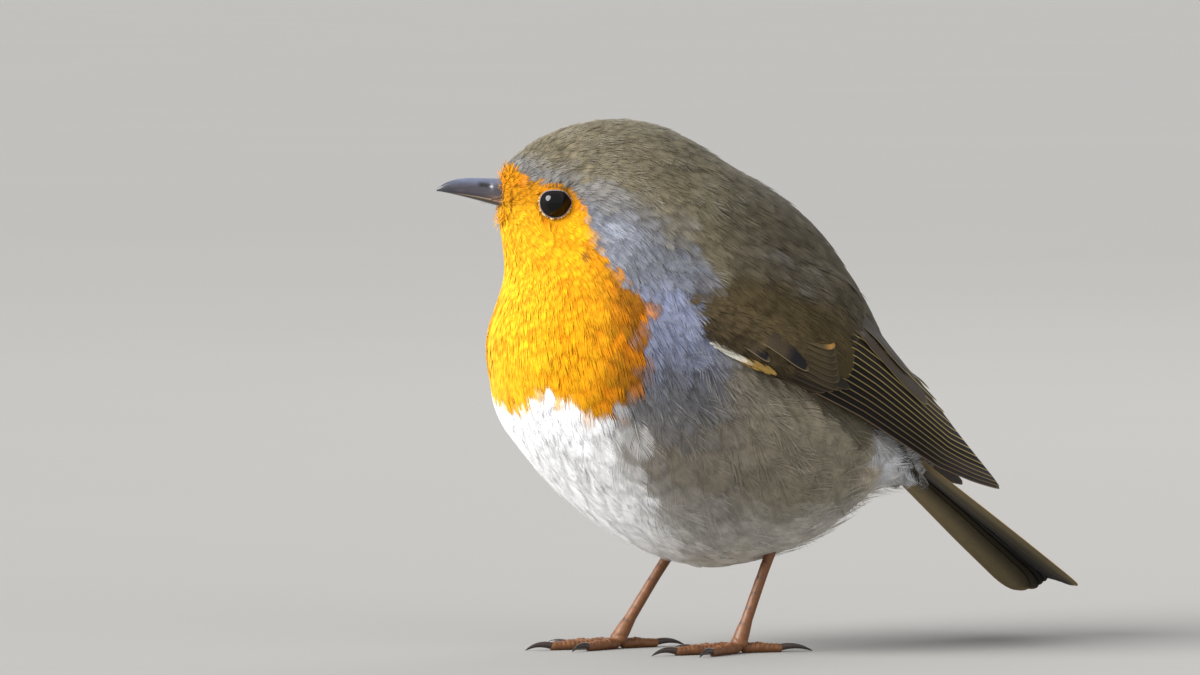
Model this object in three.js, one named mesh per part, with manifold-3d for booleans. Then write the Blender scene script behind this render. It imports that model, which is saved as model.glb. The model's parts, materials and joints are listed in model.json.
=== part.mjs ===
// A life-size standing European robin, Erithacus rubecula, in plump winter plumage.
// Millimetres, +Z up. The bird faces -X and its left side faces -Y.
// The origin is on the ground, below the centre of its bounding box.
import * as THREE from 'three';
import { mergeVertices } from 'three/addons/utils/BufferGeometryUtils.js';
import { LoftGeometry } from 'three/addons/geometries/LoftGeometry.js';
import Module from 'manifold-3d';

const wasm = await Module();
wasm.setup();

// ---------------------------------------------------------------- driving dimensions

const GAP = 0.3;               // clearance between neighbouring pieces
const FACETS = 0.08;           // how far a facet may stray from the true shape
const BLEND = 7;               // how softly the body's volumes run into each other
const HEAD_TURN = 20;          // degrees that the head is turned to the bird's right
const EYE_RADIUS = 3.1;
const TARSUS_LENGTH = 25.5;
const ANKLE_HEIGHT = 2;
const ANKLE_RADIUS = 1.7;
const TOE_RADIUS = 0.85;
const WING_THICKNESS = 1.8;
const TAIL_LENGTH = 52;
const TAIL_PITCH = 37.5;       // degrees that the tail points below level
const TAIL_ROLL = 7.5;           // degrees that its left edge is lifted

const rad = THREE.MathUtils.degToRad;
const lerp = THREE.MathUtils.lerp;
const clamp = THREE.MathUtils.clamp;
const vec = (x, y, z) => new THREE.Vector3(x, y, z);

const NECK_PIVOT = vec(-8.8, 0, 70);
const TRUNK_CENTRE = vec(2, 0, 48);
const SHOULDER = vec(-12.1, 0, 62.6);
const WING_TIP = vec(56.3, 0, 26.9);
const TAIL_BASE = vec(30, 0, 41);

// ---------------------------------------------------------------- materials

const material = (color, roughness) => new THREE.MeshStandardMaterial({ color, roughness, metalness: 0 });
const FINISH = {
  head: material(0xb0762a, 0.85),
  neck: material(0x9c8a6a, 0.85),
  trunk: material(0xa9a59a, 0.85),
  wing: material(0x5c4c38, 0.75),
  quill: material(0x3a3026, 0.6),
  bill: material(0x3a3a42, 0.35),
  eye: material(0x0b0a0a, 0.05),
  leg: material(0x8a4c26, 0.5),
  claw: material(0x2c211b, 0.4),
};

// ---------------------------------------------------------------- solids

function bare(geometry) {
  geometry.deleteAttribute('normal');
  geometry.deleteAttribute('uv');
  return geometry;
}

// A closed geometry as a solid that can be cut and joined.
function solid(geometry) {
  const merged = mergeVertices(bare(geometry), 1e-4);
  return new wasm.Manifold(new wasm.Mesh({
    numProp: 3,
    vertProperties: new Float32Array(merged.attributes.position.array),
    triVerts: new Uint32Array(merged.index.array),
  }));
}

// The largest of the bodies that a cut left, without its crumbs.
function largest(shape) {
  return shape.decompose().reduce((a, b) => (b.volume() > a.volume() ? b : a));
}

// A solid as a named mesh.
function piece(name, shape, finish) {
  const mesh = largest(shape).simplify(FACETS).getMesh();
  const geometry = new THREE.BufferGeometry()
    .setAttribute('position', new THREE.BufferAttribute(new Float32Array(mesh.vertProperties), 3))
    .setIndex(new THREE.BufferAttribute(new Uint32Array(mesh.triVerts), 1));
  geometry.computeVertexNormals();
  const made = new THREE.Mesh(geometry, finish);
  made.name = name;
  return made;
}

const mirrored = (shape) => shape.mirror([0, 1, 0]);

// Everything on the side of a plane that its normal points to.
function halfSpace(point, normal) {
  const size = 400;
  const box = new THREE.BoxGeometry(size, size, size).translate(0, 0, size / 2);
  box.applyQuaternion(new THREE.Quaternion().setFromUnitVectors(vec(0, 0, 1), normal.clone().normalize()));
  return solid(box.translate(point.x, point.y, point.z));
}

function sphere(centre, radius, segments = 16) {
  const ball = new THREE.SphereGeometry(radius, segments, segments / 2);
  return solid(ball.translate(centre.x, centre.y, centre.z));
}

// A smooth curve through a few (place, value) pairs, read at any place between them.
function curve(pairs) {
  const last = pairs.length - 1;
  const slope = (a, b) => (pairs[b][1] - pairs[a][1]) / (pairs[b][0] - pairs[a][0]);
  return (place) => {
    const i = clamp(pairs.findLastIndex(([p]) => p <= place), 0, last - 1);
    const [p1, v1] = pairs[i];
    const [p2, v2] = pairs[i + 1];
    const m1 = slope(Math.max(i - 1, 0), i + 1) * (p2 - p1);
    const m2 = slope(i, Math.min(i + 2, last)) * (p2 - p1);
    const t = clamp((place - p1) / (p2 - p1), 0, 1);
    return (2 * t ** 3 - 3 * t ** 2 + 1) * v1 + (t ** 3 - 2 * t ** 2 + t) * m1
      + (3 * t ** 2 - 2 * t ** 3) * v2 + (t ** 3 - t ** 2) * m2;
  };
}

const range = (count) => Array.from({ length: count }, (_, i) => i);
const middleOf = (points) => points.reduce((sum, p) => sum.add(p), vec(0, 0, 0)).divideScalar(points.length);

// A capped loft through rings of points, which may run round it either way.
function loft(rings) {
  const [first, second] = rings;
  const normal = vec(0, 0, 0);
  for (const i of range(first.length)) normal.add(first[i].clone().cross(first[(i + 1) % first.length]));
  const forward = middleOf(second).sub(middleOf(first));
  const sections = normal.dot(forward) < 0 ? rings.map((ring) => ring.toReversed()) : rings;
  return solid(new LoftGeometry(sections, { capStart: true, capEnd: true }));
}

// ---------------------------------------------------------------- the feathered outline

// One ellipsoid of the body. Pitch turns it nose up in the bird's upright middle plane.
function volume(centre, radii, pitch = 0) {
  const turn = new THREE.Quaternion().setFromAxisAngle(vec(0, 1, 0), rad(pitch));
  return { centre: vec(...centre), radii: vec(...radii), back: turn.invert() };
}

const pair = ([x, y, z], radii, pitch) => [volume([x, -y, z], radii, pitch), volume([x, y, z], radii, pitch)];

const TRUNK = [
  volume([-6, 0, 50.5], [30, 27, 26]),           // breast
  volume([3.5, 0, 40.5], [27.5, 27, 25.5], 20),  // belly
  volume([5, 0, 57], [26, 24, 23], 40),          // mantle
  volume([20, 0, 47], [20, 18, 15], 45),         // rump
  volume([20, 0, 33], [16, 15, 11], -25),        // vent
  volume([34, 0, 35], [13, 7.5, 4.5], 22),       // undertail coverts
  volume([29, 0, 42], [15, 8.5, 5.5], 38),       // uppertail coverts
];

const NECK = [
  volume([-5, 0, 68], [22, 19, 17.5], 28),       // ruff of neck feathers
];

// Head volumes are given from the neck's pivot with the bill straight ahead, and turn with the head.
const HEAD = [
  volume([-5.5, 0, 8.5], [16.6, 9.8, 12.8]),     // crown
  volume([-16.6, 0, 9.3], [8.5, 4.4, 6], -8),    // face
  volume([-12.4, 0, -1], [10, 8, 9]),            // throat
  ...pair([-2.5, 4.6, 4], [9, 7.6, 9.5]),        // cheeks
];

const HEAD_TO_BODY = new THREE.Matrix4()
  .makeTranslation(NECK_PIVOT)
  .multiply(new THREE.Matrix4().makeRotationZ(rad(-HEAD_TURN)));
const BODY_TO_HEAD = HEAD_TO_BODY.clone().invert();
const inHead = (x, y, z) => vec(x, y, z).applyMatrix4(HEAD_TO_BODY);

// About how far a point is from an ellipsoid, negative inside it.
function distanceTo({ centre, radii, back }, point) {
  const p = point.clone().sub(centre).applyQuaternion(back).divide(radii);
  const near = p.length();
  const slope = p.divide(radii).length();
  return slope < 1e-9 ? -Math.min(...radii) : (near * (near - 1)) / slope;
}

// Two distances as one, rounded where they meet.
function blended(a, b) {
  const share = Math.max(BLEND - Math.abs(a - b), 0) / BLEND;
  return Math.min(a, b) - (share * share * BLEND) / 4;
}

function outline(point) {
  const turned = point.clone().applyMatrix4(BODY_TO_HEAD);
  return [
    ...[...TRUNK, ...NECK].map((v) => distanceTo(v, point)),
    ...HEAD.map((v) => distanceTo(v, turned)),
  ].reduce(blended);
}

// How far the feathered outline lies from an inner point, along a direction.
function reach(from, way) {
  let inside = 0;
  let outside = 110;
  while (outline(from.clone().addScaledVector(way, outside)) < 0) outside += 10;
  for (let step = 0; step < 30; step += 1) {
    const middle = (inside + outside) / 2;
    if (outline(from.clone().addScaledVector(way, middle)) < 0) inside = middle;
    else outside = middle;
  }
  return inside;
}

// A ball of triangles about an inner point, each corner drawn out to the feathered outline.
function wrapped(centre, detail) {
  const ball = mergeVertices(bare(new THREE.IcosahedronGeometry(1, detail)), 1e-5);
  const corner = ball.attributes.position;
  for (const i of range(corner.count)) {
    const way = vec(corner.getX(i), corner.getY(i), corner.getZ(i)).normalize();
    const at = way.clone().multiplyScalar(reach(centre, way)).add(centre);
    corner.setXYZ(i, at.x, at.y, at.z);
  }
  return solid(ball);
}

// ---------------------------------------------------------------- wings

const WING_AXIS = WING_TIP.clone().sub(SHOULDER);
const WING_LENGTH = WING_AXIS.length();
const ALONG = WING_AXIS.clone().normalize();
const ACROSS = vec(-ALONG.z, 0, ALONG.x);
const COVERTS_END = 34.5;      // where the coverts give way to bare quills, from the shoulder

// Distances from the shoulder against: the upper edge, the lower edge, and the height off the middle plane.
const wingUpper = curve([[-3, 0.6], [4, 9], [12, 13.6], [24, 17], [33, 15.4], [44, 11.2], [58, 6.4], [71, 2.2], [77, 0.4]]);
const wingLower = curve([[-3, -0.6], [2, -5.5], [9, -7.1], [17, -6.5], [25, -5], [40, -3.8], [62, -3], [77, -0.8]]);
const wingHeight = curve([[-3, 22], [10, 25], [25, 26.4], [40, 22], [55, 15], [66, 10.3], [77, 6.2]]);
const OUTWARDS = vec(0, -1, 0);

// The folded left wing, which hugs the body and stands clear of it towards its tip.
// Grow widens it all round, and out lifts its outer face alone.
function wingShape(grow = 0, out = 0) {
  const stations = 25;
  const sides = 9;
  return loft(range(stations).map((i) => {
    const u = lerp(-3, WING_LENGTH, i / (stations - 1));
    const [low, high] = [wingLower(u) - grow, wingUpper(u) + grow];
    const thickness = WING_THICKNESS * lerp(1, 0.6, i / (stations - 1));
    const face = (outer) => range(sides).map((j) => {
      const across = lerp(-1, 1, j / (sides - 1));
      const v = lerp(low, high, j / (sides - 1));
      const at = SHOULDER.clone().addScaledVector(ALONG, u).addScaledVector(ACROSS, v);
      const round = Math.sqrt(1 - 0.6 * (Math.max(v, 0) / (wingUpper(u) + 2)) ** 2);
      const bed = Math.max(reach(at, OUTWARDS), wingHeight(u) * round);
      const full = thickness * (1 - 0.5 * across * across);
      return at.setY(-bed - (outer ? full / 2 + grow + out : -full / 2 - grow));
    });
    return [...face(true), ...face(false).reverse()];
  }));
}

// ---------------------------------------------------------------- tail

const TAIL_WAY = vec(Math.cos(rad(TAIL_PITCH)), 0, -Math.sin(rad(TAIL_PITCH)));
const TAIL_SIDE = vec(0, 1, 0).applyAxisAngle(TAIL_WAY, rad(-TAIL_ROLL));
const TAIL_UP = TAIL_SIDE.clone().cross(TAIL_WAY).negate();
const tailHalfWidth = curve([[0, 4.5], [15, 7], [35, 10.2], [TAIL_LENGTH - 2, 12], [TAIL_LENGTH, 11.2]]);

// The folded fan of tail feathers, arched across and notched at its end.
function tailShape(grow = 0) {
  const stations = 9;
  const sides = 9;
  const notch = 2.5;
  const arch = 1.6;
  return loft(range(stations).map((i) => {
    const s = lerp(-grow, TAIL_LENGTH + grow, i / (stations - 1));
    const half = tailHalfWidth(s) + grow;
    const thickness = lerp(2.6, 1.1, i / (stations - 1));
    const face = (lift) => range(sides).map((j) => {
      const w = lerp(-1, 1, j / (sides - 1));
      const back = notch * (1 - Math.abs(w)) * (i / (stations - 1)) ** 4;
      return TAIL_BASE.clone()
        .addScaledVector(TAIL_WAY, s - back)
        .addScaledVector(TAIL_SIDE, w * half)
        .addScaledVector(TAIL_UP, lift - arch * w * w);
    });
    return [...face(thickness / 2 + grow), ...face(-thickness / 2 - grow).reverse()];
  }));
}

// ---------------------------------------------------------------- bill

// Along the bill from the head's pivot: ridge, cutting edge, keel and half width.
const BILL_ROOT = -21;
const BILL_TIP = -35.6;
const billRidge = curve([[BILL_TIP, 9.75], [-33.6, 10.7], [-29.9, 11.25], [-25.3, 11.1], [BILL_ROOT, 10.8]]);
const billEdge = curve([[BILL_TIP, 9.4], [-31.7, 8.85], [-25.3, 7.8], [BILL_ROOT, 6.6]]);
const billKeel = curve([[BILL_TIP, 9.0], [-33.4, 8.75], [-29.9, 7.75], [-25.3, 6.4], [BILL_ROOT, 5.2]]);
const billHalfWidth = curve([[BILL_TIP, 0.3], [-32, 1.05], [-28, 1.6], [-25.3, 2.1], [BILL_ROOT, 2.9]]);

// A lengthwise piece of the bill. Its section is an arch from the cutting edge to each back in turn.
function billPiece(backs, tip, edge = billEdge, grow = 0) {
  const stations = 13;
  const sides = 12;
  return loft(range(stations).map((i) => {
    const x = lerp(BILL_ROOT + grow, tip, i / (stations - 1));
    const half = billHalfWidth(x) + grow;
    return backs.flatMap((back) => {
      const deep = back(x) - edge(x);
      const high = deep + Math.sign(deep) * grow;
      const run = Math.sign(deep);
      const last = backs.length > 1 ? sides : sides + 1;
      return range(last).map((j) => {
        const angle = (Math.PI * j) / sides;
        return inHead(x, run * half * Math.cos(angle), edge(x) + high * Math.sin(angle));
      });
    });
  }));
}

// ---------------------------------------------------------------- legs

// A tube along points, with its own half width and half depth at each.
function limb(points, halfWidth, halfDepth, sides = 10) {
  return loft(points.map((at, i) => {
    const way = points[Math.min(i + 1, points.length - 1)].clone().sub(points[Math.max(i - 1, 0)]).normalize();
    const side = vec(0, 1, 0).addScaledVector(way, -way.y).normalize();
    const up = way.clone().cross(side);
    return range(sides).map((j) => {
      const angle = (2 * Math.PI * j) / sides;
      return at.clone()
        .addScaledVector(side, Math.cos(angle) * halfWidth(i / (points.length - 1)))
        .addScaledVector(up, Math.sin(angle) * halfDepth(i / (points.length - 1)));
    });
  }));
}

// The scaly shank from the ankle up into the belly feathers.
function shank({ foot, lean }, grow = 0) {
  const way = vec(Math.sin(rad(lean)), 0, Math.cos(rad(lean)));
  const points = range(9).map((i) => foot.clone().addScaledVector(way, (TARSUS_LENGTH * i) / 8));
  const swell = curve([[0, 1.35], [0.12, 1.05], [0.5, 0.95], [0.85, 1.1], [1, 1.5]]);
  return limb(points, (t) => swell(t) * 0.85 + grow, (t) => swell(t) + grow);
}

// Toes as (name, degrees from straight ahead towards the outside, length, claw length).
const TOES = [
  ['hind', 174, 7.8, 5.6],
  ['inner', -24, 8.6, 3.8],
  ['middle', 4, 13, 4.4],
  ['outer', 34, 9.8, 3.8],
];

// A straight tube seen from above, whose height and radius change along it.
function lowTube(foot, heading, [from, to], height, radius) {
  const way = vec(-Math.cos(heading), Math.sin(heading), 0);
  const side = vec(-way.y, way.x, 0);
  const steps = 8;
  const sides = 8;
  return loft(range(steps + 1).map((i) => {
    const t = i / steps;
    const at = foot.clone().setZ(height(t)).addScaledVector(way, lerp(from, to, t));
    return range(sides).map((j) => {
      const angle = (2 * Math.PI * (j + 0.5)) / sides;
      const up = vec(0, 0, Math.sin(angle) * radius(t));
      return at.clone().addScaledVector(side, Math.cos(angle) * radius(t)).add(up);
    });
  }));
}

// A toe comes down from the ankle and lies on the ground on a pad below each joint.
function toe(foot, heading, length) {
  const height = (t) => TOE_RADIUS - 0.12 + 0.14 * Math.sin(Math.PI * t) + 0.6 * (1 - t) ** 3;
  const pads = (t) => TOE_RADIUS * (1 - 0.2 * t) + 0.14 * Math.cos(6 * Math.PI * t);
  return lowTube(foot, heading, [0, length], height, pads);
}

// A claw leaves its toe's end, arches over and comes down to a point.
function claw(foot, heading, from, length) {
  const height = (t) => 0.75 + 0.9 * t - 1.35 * t * t;
  const taper = (t) => 0.62 * (1 - t) ** 0.8 + 0.1;
  return lowTube(foot, heading, [from + GAP, from + GAP + length], height, taper);
}

const ABOVE_GROUND = halfSpace(vec(0, 0, 0), vec(0, 0, 1));

function leg(side, plan) {
  const ankle = sphere(plan.foot, ANKLE_RADIUS, 12);
  const outside = side === 'left' ? -1 : 1;
  const toes = TOES.map(([name, degrees, length, nail]) => ({
    name, length, nail, heading: rad(degrees) * outside,
  }));
  const foot = toes.map((t) => toe(plan.foot, t.heading, t.length)).reduce((a, b) => a.add(b), ankle);
  const cutter = sphere(plan.foot, ANKLE_RADIUS + GAP, 12);
  return [
    piece(`tarsus_${side}`, shank(plan).subtract(cutter), FINISH.leg),
    piece(`foot_${side}`, foot.intersect(ABOVE_GROUND), FINISH.leg),
    ...toes.map((t) => piece(
      `claw_${side}_${t.name}`,
      claw(plan.foot, t.heading, t.length, t.nail).intersect(ABOVE_GROUND),
      FINISH.claw,
    )),
  ];
}

const LEGS = {
  left: { foot: vec(5, -9.3, ANKLE_HEIGHT), lean: 22 },
  right: { foot: vec(-9.1, 9.3, ANKLE_HEIGHT), lean: 35 },
};

// ---------------------------------------------------------------- eyes

const EYE_PLACE = vec(-15.9, 0, 7.5);
const EYE_SUNK = 2.0;          // how far the eyeball's centre lies below the feathers
const EYE_AIM = 20;            // degrees that an eye looks ahead of straight out

function placedEye(side) {
  const from = inHead(EYE_PLACE.x, 0, EYE_PLACE.z);
  const out = vec(0, side, 0).applyAxisAngle(vec(0, 0, 1), rad(-HEAD_TURN));
  const at = from.clone().addScaledVector(out, reach(from, out) - EYE_SUNK);
  return { at, way: out.applyAxisAngle(vec(0, 0, 1), rad(side * EYE_AIM)) };
}

// ---------------------------------------------------------------- the bird

const HEAD_PLANE = { at: vec(-16.6, 0, 73.4), way: vec(-0.512, 0, 0.859) };
const NECK_PLANE = { at: vec(-13.3, 0, 67.4), way: vec(-0.454, 0, 0.891) };
const beyond = ({ at, way }, offset) => halfSpace(at.clone().addScaledVector(way, offset), way);

const eyes = [['left', -1], ['right', 1]].map(([name, side]) => ({ name, ...placedEye(side) }));
const lidOpening = ({ at, way }) => sphere(at.clone().addScaledVector(way, 4), 3.9);

const head = [
  billPiece([billRidge, billKeel], BILL_TIP, billEdge, GAP),
  ...eyes.map(({ at }) => sphere(at, EYE_RADIUS + GAP)),
  ...eyes.map(lidOpening),
].reduce((a, b) => a.subtract(b), wrapped(inHead(-5.5, 0, 7), 8).intersect(beyond(HEAD_PLANE, GAP / 2)));

const neck = wrapped(vec(-12, 0, 68), 8)
  .subtract(beyond(HEAD_PLANE, -GAP / 2))
  .intersect(beyond(NECK_PLANE, GAP / 2));

const wing = wingShape();
const wingRoom = wingShape(GAP, 3);
const quills = beyond({ at: SHOULDER, way: ALONG }, COVERTS_END);

const trunk = [
  beyond(NECK_PLANE, -GAP / 2),
  wingRoom,
  mirrored(wingRoom),
  tailShape(GAP),
  ...Object.values(LEGS).map((plan) => shank(plan, GAP)),
].reduce((a, b) => a.subtract(b), wrapped(TRUNK_CENTRE, 9));

const coverts = wing.subtract(beyond({ at: SHOULDER, way: ALONG }, COVERTS_END - GAP));
const flight = wing.intersect(quills);

const bird = new THREE.Group();
bird.add(
  piece('head', head, FINISH.head),
  piece('neck', neck, FINISH.neck),
  piece('trunk', trunk, FINISH.trunk),
  piece('tail', tailShape(), FINISH.quill),
  piece('wing_left', coverts, FINISH.wing),
  piece('wing_right', mirrored(coverts), FINISH.wing),
  piece('flight_left', flight, FINISH.quill),
  piece('flight_right', mirrored(flight), FINISH.quill),
  piece('bill_upper', billPiece([billRidge], BILL_TIP, (x) => billEdge(x) + GAP / 2), FINISH.bill),
  piece('bill_lower', billPiece([billKeel], BILL_TIP + 1, (x) => billEdge(x) - GAP / 2), FINISH.bill),
  ...eyes.map(({ name, at }) => piece(`eye_${name}`, sphere(at, EYE_RADIUS), FINISH.eye)),
  ...leg('left', LEGS.left),
  ...leg('right', LEGS.right),
);

const box = new THREE.Box3().setFromObject(bird);
const middle = box.getCenter(vec(0, 0, 0));
bird.position.set(-middle.x, -middle.y, -box.min.z);

export default bird;
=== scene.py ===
"""A still, life-size European robin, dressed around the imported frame.

One skin stands for the flesh. Over it lie contour feathers, each a fan of thin solid barbs that
follows the lie of the coat, and the quills of wings and tail are closed vanes with raised shafts.
Lengths are in millimetres until a mesh is made, and X, Y and Z are the frame's own.
"""

import json
import logging
import math
from dataclasses import dataclass, field
from enum import Enum
from typing import Callable, ClassVar, Sequence

import bmesh
import bpy
import numpy as np
from mathutils import Vector
from mathutils.bvhtree import BVHTree
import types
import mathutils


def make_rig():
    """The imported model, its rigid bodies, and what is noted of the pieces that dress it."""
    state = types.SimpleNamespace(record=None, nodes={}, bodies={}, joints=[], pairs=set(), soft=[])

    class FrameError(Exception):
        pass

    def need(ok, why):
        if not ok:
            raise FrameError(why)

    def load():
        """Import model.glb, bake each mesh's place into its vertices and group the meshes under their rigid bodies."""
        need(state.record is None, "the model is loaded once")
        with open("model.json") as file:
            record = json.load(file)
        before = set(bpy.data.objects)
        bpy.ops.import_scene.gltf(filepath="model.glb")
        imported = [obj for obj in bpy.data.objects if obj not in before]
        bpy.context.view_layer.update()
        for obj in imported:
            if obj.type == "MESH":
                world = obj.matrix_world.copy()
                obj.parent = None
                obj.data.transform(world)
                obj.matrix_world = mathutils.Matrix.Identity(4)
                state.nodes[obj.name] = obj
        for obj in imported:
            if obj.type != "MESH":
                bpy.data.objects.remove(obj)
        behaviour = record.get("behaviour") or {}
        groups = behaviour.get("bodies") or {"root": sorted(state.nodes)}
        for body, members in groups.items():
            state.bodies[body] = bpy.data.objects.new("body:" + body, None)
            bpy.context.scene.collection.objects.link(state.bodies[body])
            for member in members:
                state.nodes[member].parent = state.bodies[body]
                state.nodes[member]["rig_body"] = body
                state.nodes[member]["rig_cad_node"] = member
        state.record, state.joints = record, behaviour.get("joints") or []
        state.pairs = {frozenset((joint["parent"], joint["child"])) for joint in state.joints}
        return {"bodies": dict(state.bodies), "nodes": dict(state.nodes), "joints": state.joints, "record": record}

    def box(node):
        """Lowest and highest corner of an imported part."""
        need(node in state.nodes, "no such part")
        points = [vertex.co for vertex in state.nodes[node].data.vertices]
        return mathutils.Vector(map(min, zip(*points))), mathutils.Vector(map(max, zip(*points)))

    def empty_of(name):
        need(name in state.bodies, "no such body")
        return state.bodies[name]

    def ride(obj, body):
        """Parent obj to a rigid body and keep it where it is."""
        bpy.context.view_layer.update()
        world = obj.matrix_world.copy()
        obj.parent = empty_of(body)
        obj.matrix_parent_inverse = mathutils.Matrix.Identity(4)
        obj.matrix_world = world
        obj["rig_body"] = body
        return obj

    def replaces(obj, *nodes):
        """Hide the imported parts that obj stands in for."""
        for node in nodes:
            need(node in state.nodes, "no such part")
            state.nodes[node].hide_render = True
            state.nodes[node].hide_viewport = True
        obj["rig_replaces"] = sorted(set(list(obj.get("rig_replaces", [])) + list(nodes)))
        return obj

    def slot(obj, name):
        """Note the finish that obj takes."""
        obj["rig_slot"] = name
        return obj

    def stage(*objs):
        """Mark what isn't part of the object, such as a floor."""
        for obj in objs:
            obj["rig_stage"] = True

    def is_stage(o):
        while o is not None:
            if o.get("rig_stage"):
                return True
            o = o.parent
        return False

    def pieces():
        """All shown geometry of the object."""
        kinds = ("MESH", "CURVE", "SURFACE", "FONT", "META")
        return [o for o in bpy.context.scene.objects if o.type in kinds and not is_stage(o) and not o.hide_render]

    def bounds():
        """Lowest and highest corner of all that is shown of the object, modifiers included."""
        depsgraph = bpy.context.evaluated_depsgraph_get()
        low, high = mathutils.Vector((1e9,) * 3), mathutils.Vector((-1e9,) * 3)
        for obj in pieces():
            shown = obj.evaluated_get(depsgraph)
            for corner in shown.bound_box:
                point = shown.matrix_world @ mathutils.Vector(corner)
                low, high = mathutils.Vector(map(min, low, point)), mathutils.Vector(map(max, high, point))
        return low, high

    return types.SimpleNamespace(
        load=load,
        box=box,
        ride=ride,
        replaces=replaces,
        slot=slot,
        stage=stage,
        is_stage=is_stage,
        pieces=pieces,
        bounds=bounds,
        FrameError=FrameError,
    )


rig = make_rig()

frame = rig.load()
CAD_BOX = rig.bounds()

LOG = logging.getLogger("robin")
MM = 0.001
BODY = "root"
PLUMAGE, FRINGE, LIE = "Plumage", "Fringe", "lie"
BAKE_MAP, VANE_MAP = "OFBake", "Vane"
PATCH = 0.003
BACK, RIGHT, UP = np.eye(3)

Array = np.ndarray
Rng = np.random.Generator
Material = bpy.types.Material
Table = Sequence[tuple[float, float]]


class Side(Enum):
    """The bird's sides, each with the sign of its Y."""

    LEFT = -1.0
    RIGHT = 1.0

    def __str__(self) -> str:
        """Name the side as the frame's nodes do."""
        return self.name.lower()


# ---- numbers


def unit(vectors: Array) -> Array:
    """Scale vectors to length one along the last axis."""
    return vectors / np.maximum(np.linalg.norm(vectors, axis=-1, keepdims=True), 1e-9)


def ramp(low: float, high: float, value: Array) -> Array:
    """Move smoothly from 0 at low to 1 at high, which may be the smaller."""
    t = np.clip((np.asarray(value, float) - low) / (high - low), 0.0, 1.0)
    return t * t * (3.0 - 2.0 * t)


def hump(*offsets: Array) -> Array:
    """Give 1 where every offset is 0, fading like a bell over a distance of one."""
    return np.exp(-sum(off ** 2 for off in offsets))


def read(table: Table, at: Array | float) -> Array:
    """Read a table of places and values, straight between its rows and level past its ends."""
    return np.interp(at, *np.array(table, float).T)


def circle(count: int) -> Array:
    """Give evenly spaced turns of a whole circle."""
    return np.linspace(0.0, 2.0 * math.pi, count, endpoint=False)


def paint(code: str) -> Array:
    """Turn a hexadecimal display colour into linear light."""
    c = np.array([int(code[i:i + 2], 16) for i in (0, 2, 4)]) / 255.0
    return np.where(c <= 0.04045, c / 12.92, ((c + 0.055) / 1.055) ** 2.4)


def mix(a: Array | str, b: Array | str, t: Array | float) -> Array:
    """Blend a into b.

    Args:
        a: Numbers, colours or points, or one hexadecimal colour.
        b: The same.
        t: The weight of b, one for each row where a or b holds colours or points.

    Returns:
        The blend.
    """
    a, b = (paint(v) if isinstance(v, str) else np.asarray(v, float) for v in (a, b))
    t = np.asarray(t, float)
    if t.ndim and (a.shape[-1:] == (3,) or b.shape[-1:] == (3,)) and t.shape[-1:] != (3,):
        t = t[..., None]
    return a + (b - a) * t


def layered(base: Array | str, *layers: tuple[Array | str, Array | float]) -> Array:
    """Lay colours over a first one, each by its weight."""
    for colour, weight in layers:
        base = mix(base, colour, weight)
    return base


def ripple(points: Array, size: float, seed: int) -> Array:
    """Give a smooth wander between about -1 and 1 at each point.

    Args:
        points: Places, shape (..., 3).
        size: The length over which the wander turns.
        seed: Which wander.

    Returns:
        One number for each point.
    """
    rng = np.random.default_rng(seed)
    total = np.zeros(points.shape[:-1])
    for _ in range(7):
        way = unit(rng.normal(size=3)) * 2.0 * math.pi / size * rng.uniform(0.6, 1.5)
        total += np.sin(points @ way + rng.uniform(0.0, 2.0 * math.pi))
    return total / 3.2


def pin(node: str, corner: Sequence[float]) -> Array:
    """Give a place in a CAD node's box, from 0 at its low corner to 1 at its high one, in mm."""
    low, high = (np.array(c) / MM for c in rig.box(node))
    return low + (high - low) * np.array(corner)


# ---- meshes


def mesh_object(name: str, points: Array, faces: Array, material: Material,
                colours: dict[str, Array] | None = None, maps: dict[str, Array] | None = None,
                seam: float = 0.0, lie: Array | None = None) -> bpy.types.Object:
    """Make a smooth-shaded object at the origin from arrays.

    Args:
        name: The object's name.
        points: Vertices in mm, shape (n, 3).
        faces: Vertex numbers, shape (m, 3) or (m, 4).
        material: The finish.
        colours: Named vertex colours, each (n, 3) in linear light.
        maps: Named UV maps, each (n, 2), one value for each vertex.
        seam: The width of a UV strip that closes on itself, or 0.
        lie: Normals to shade by, (n, 3), or None for the faces' own.

    Returns:
        The linked object.
    """
    mesh = bpy.data.meshes.new(name)
    mesh.vertices.add(len(points))
    mesh.vertices.foreach_set("co", (points * MM).astype(np.float32).ravel())
    mesh.loops.add(faces.size)
    mesh.loops.foreach_set("vertex_index", faces.astype(np.int32).ravel())
    mesh.polygons.add(len(faces))
    mesh.polygons.foreach_set("loop_start", np.arange(0, faces.size, faces.shape[1], dtype=np.int32))
    mesh.polygons.foreach_set("use_smooth", np.full(len(faces), True))
    for key, values in (colours or {}).items():
        rgba = np.ones((len(points), 4), np.float32)
        rgba[:, :3] = values
        mesh.attributes.new(key, "FLOAT_COLOR", "POINT").data.foreach_set("color", rgba.ravel())
    for key, values in (maps or {}).items():
        corner = values[faces]
        if seam and key == BAKE_MAP:
            across = corner[..., 0]
            low, wide = across.min(1, keepdims=True), np.ptp(across, axis=1)[:, None]
            corner[..., 0] += seam * ((wide > seam / 2) & (across < low + seam / 2))
        mesh.uv_layers.new(name=key).data.foreach_set("uv", corner.astype(np.float32).ravel())
    mesh.update(calc_edges=True)
    if lie is not None:
        mesh.normals_split_custom_set_from_vertices(lie.astype(np.float32))
    mesh.materials.append(material)
    made = bpy.data.objects.new(name, mesh)
    bpy.context.scene.collection.objects.link(made)
    return made


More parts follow.
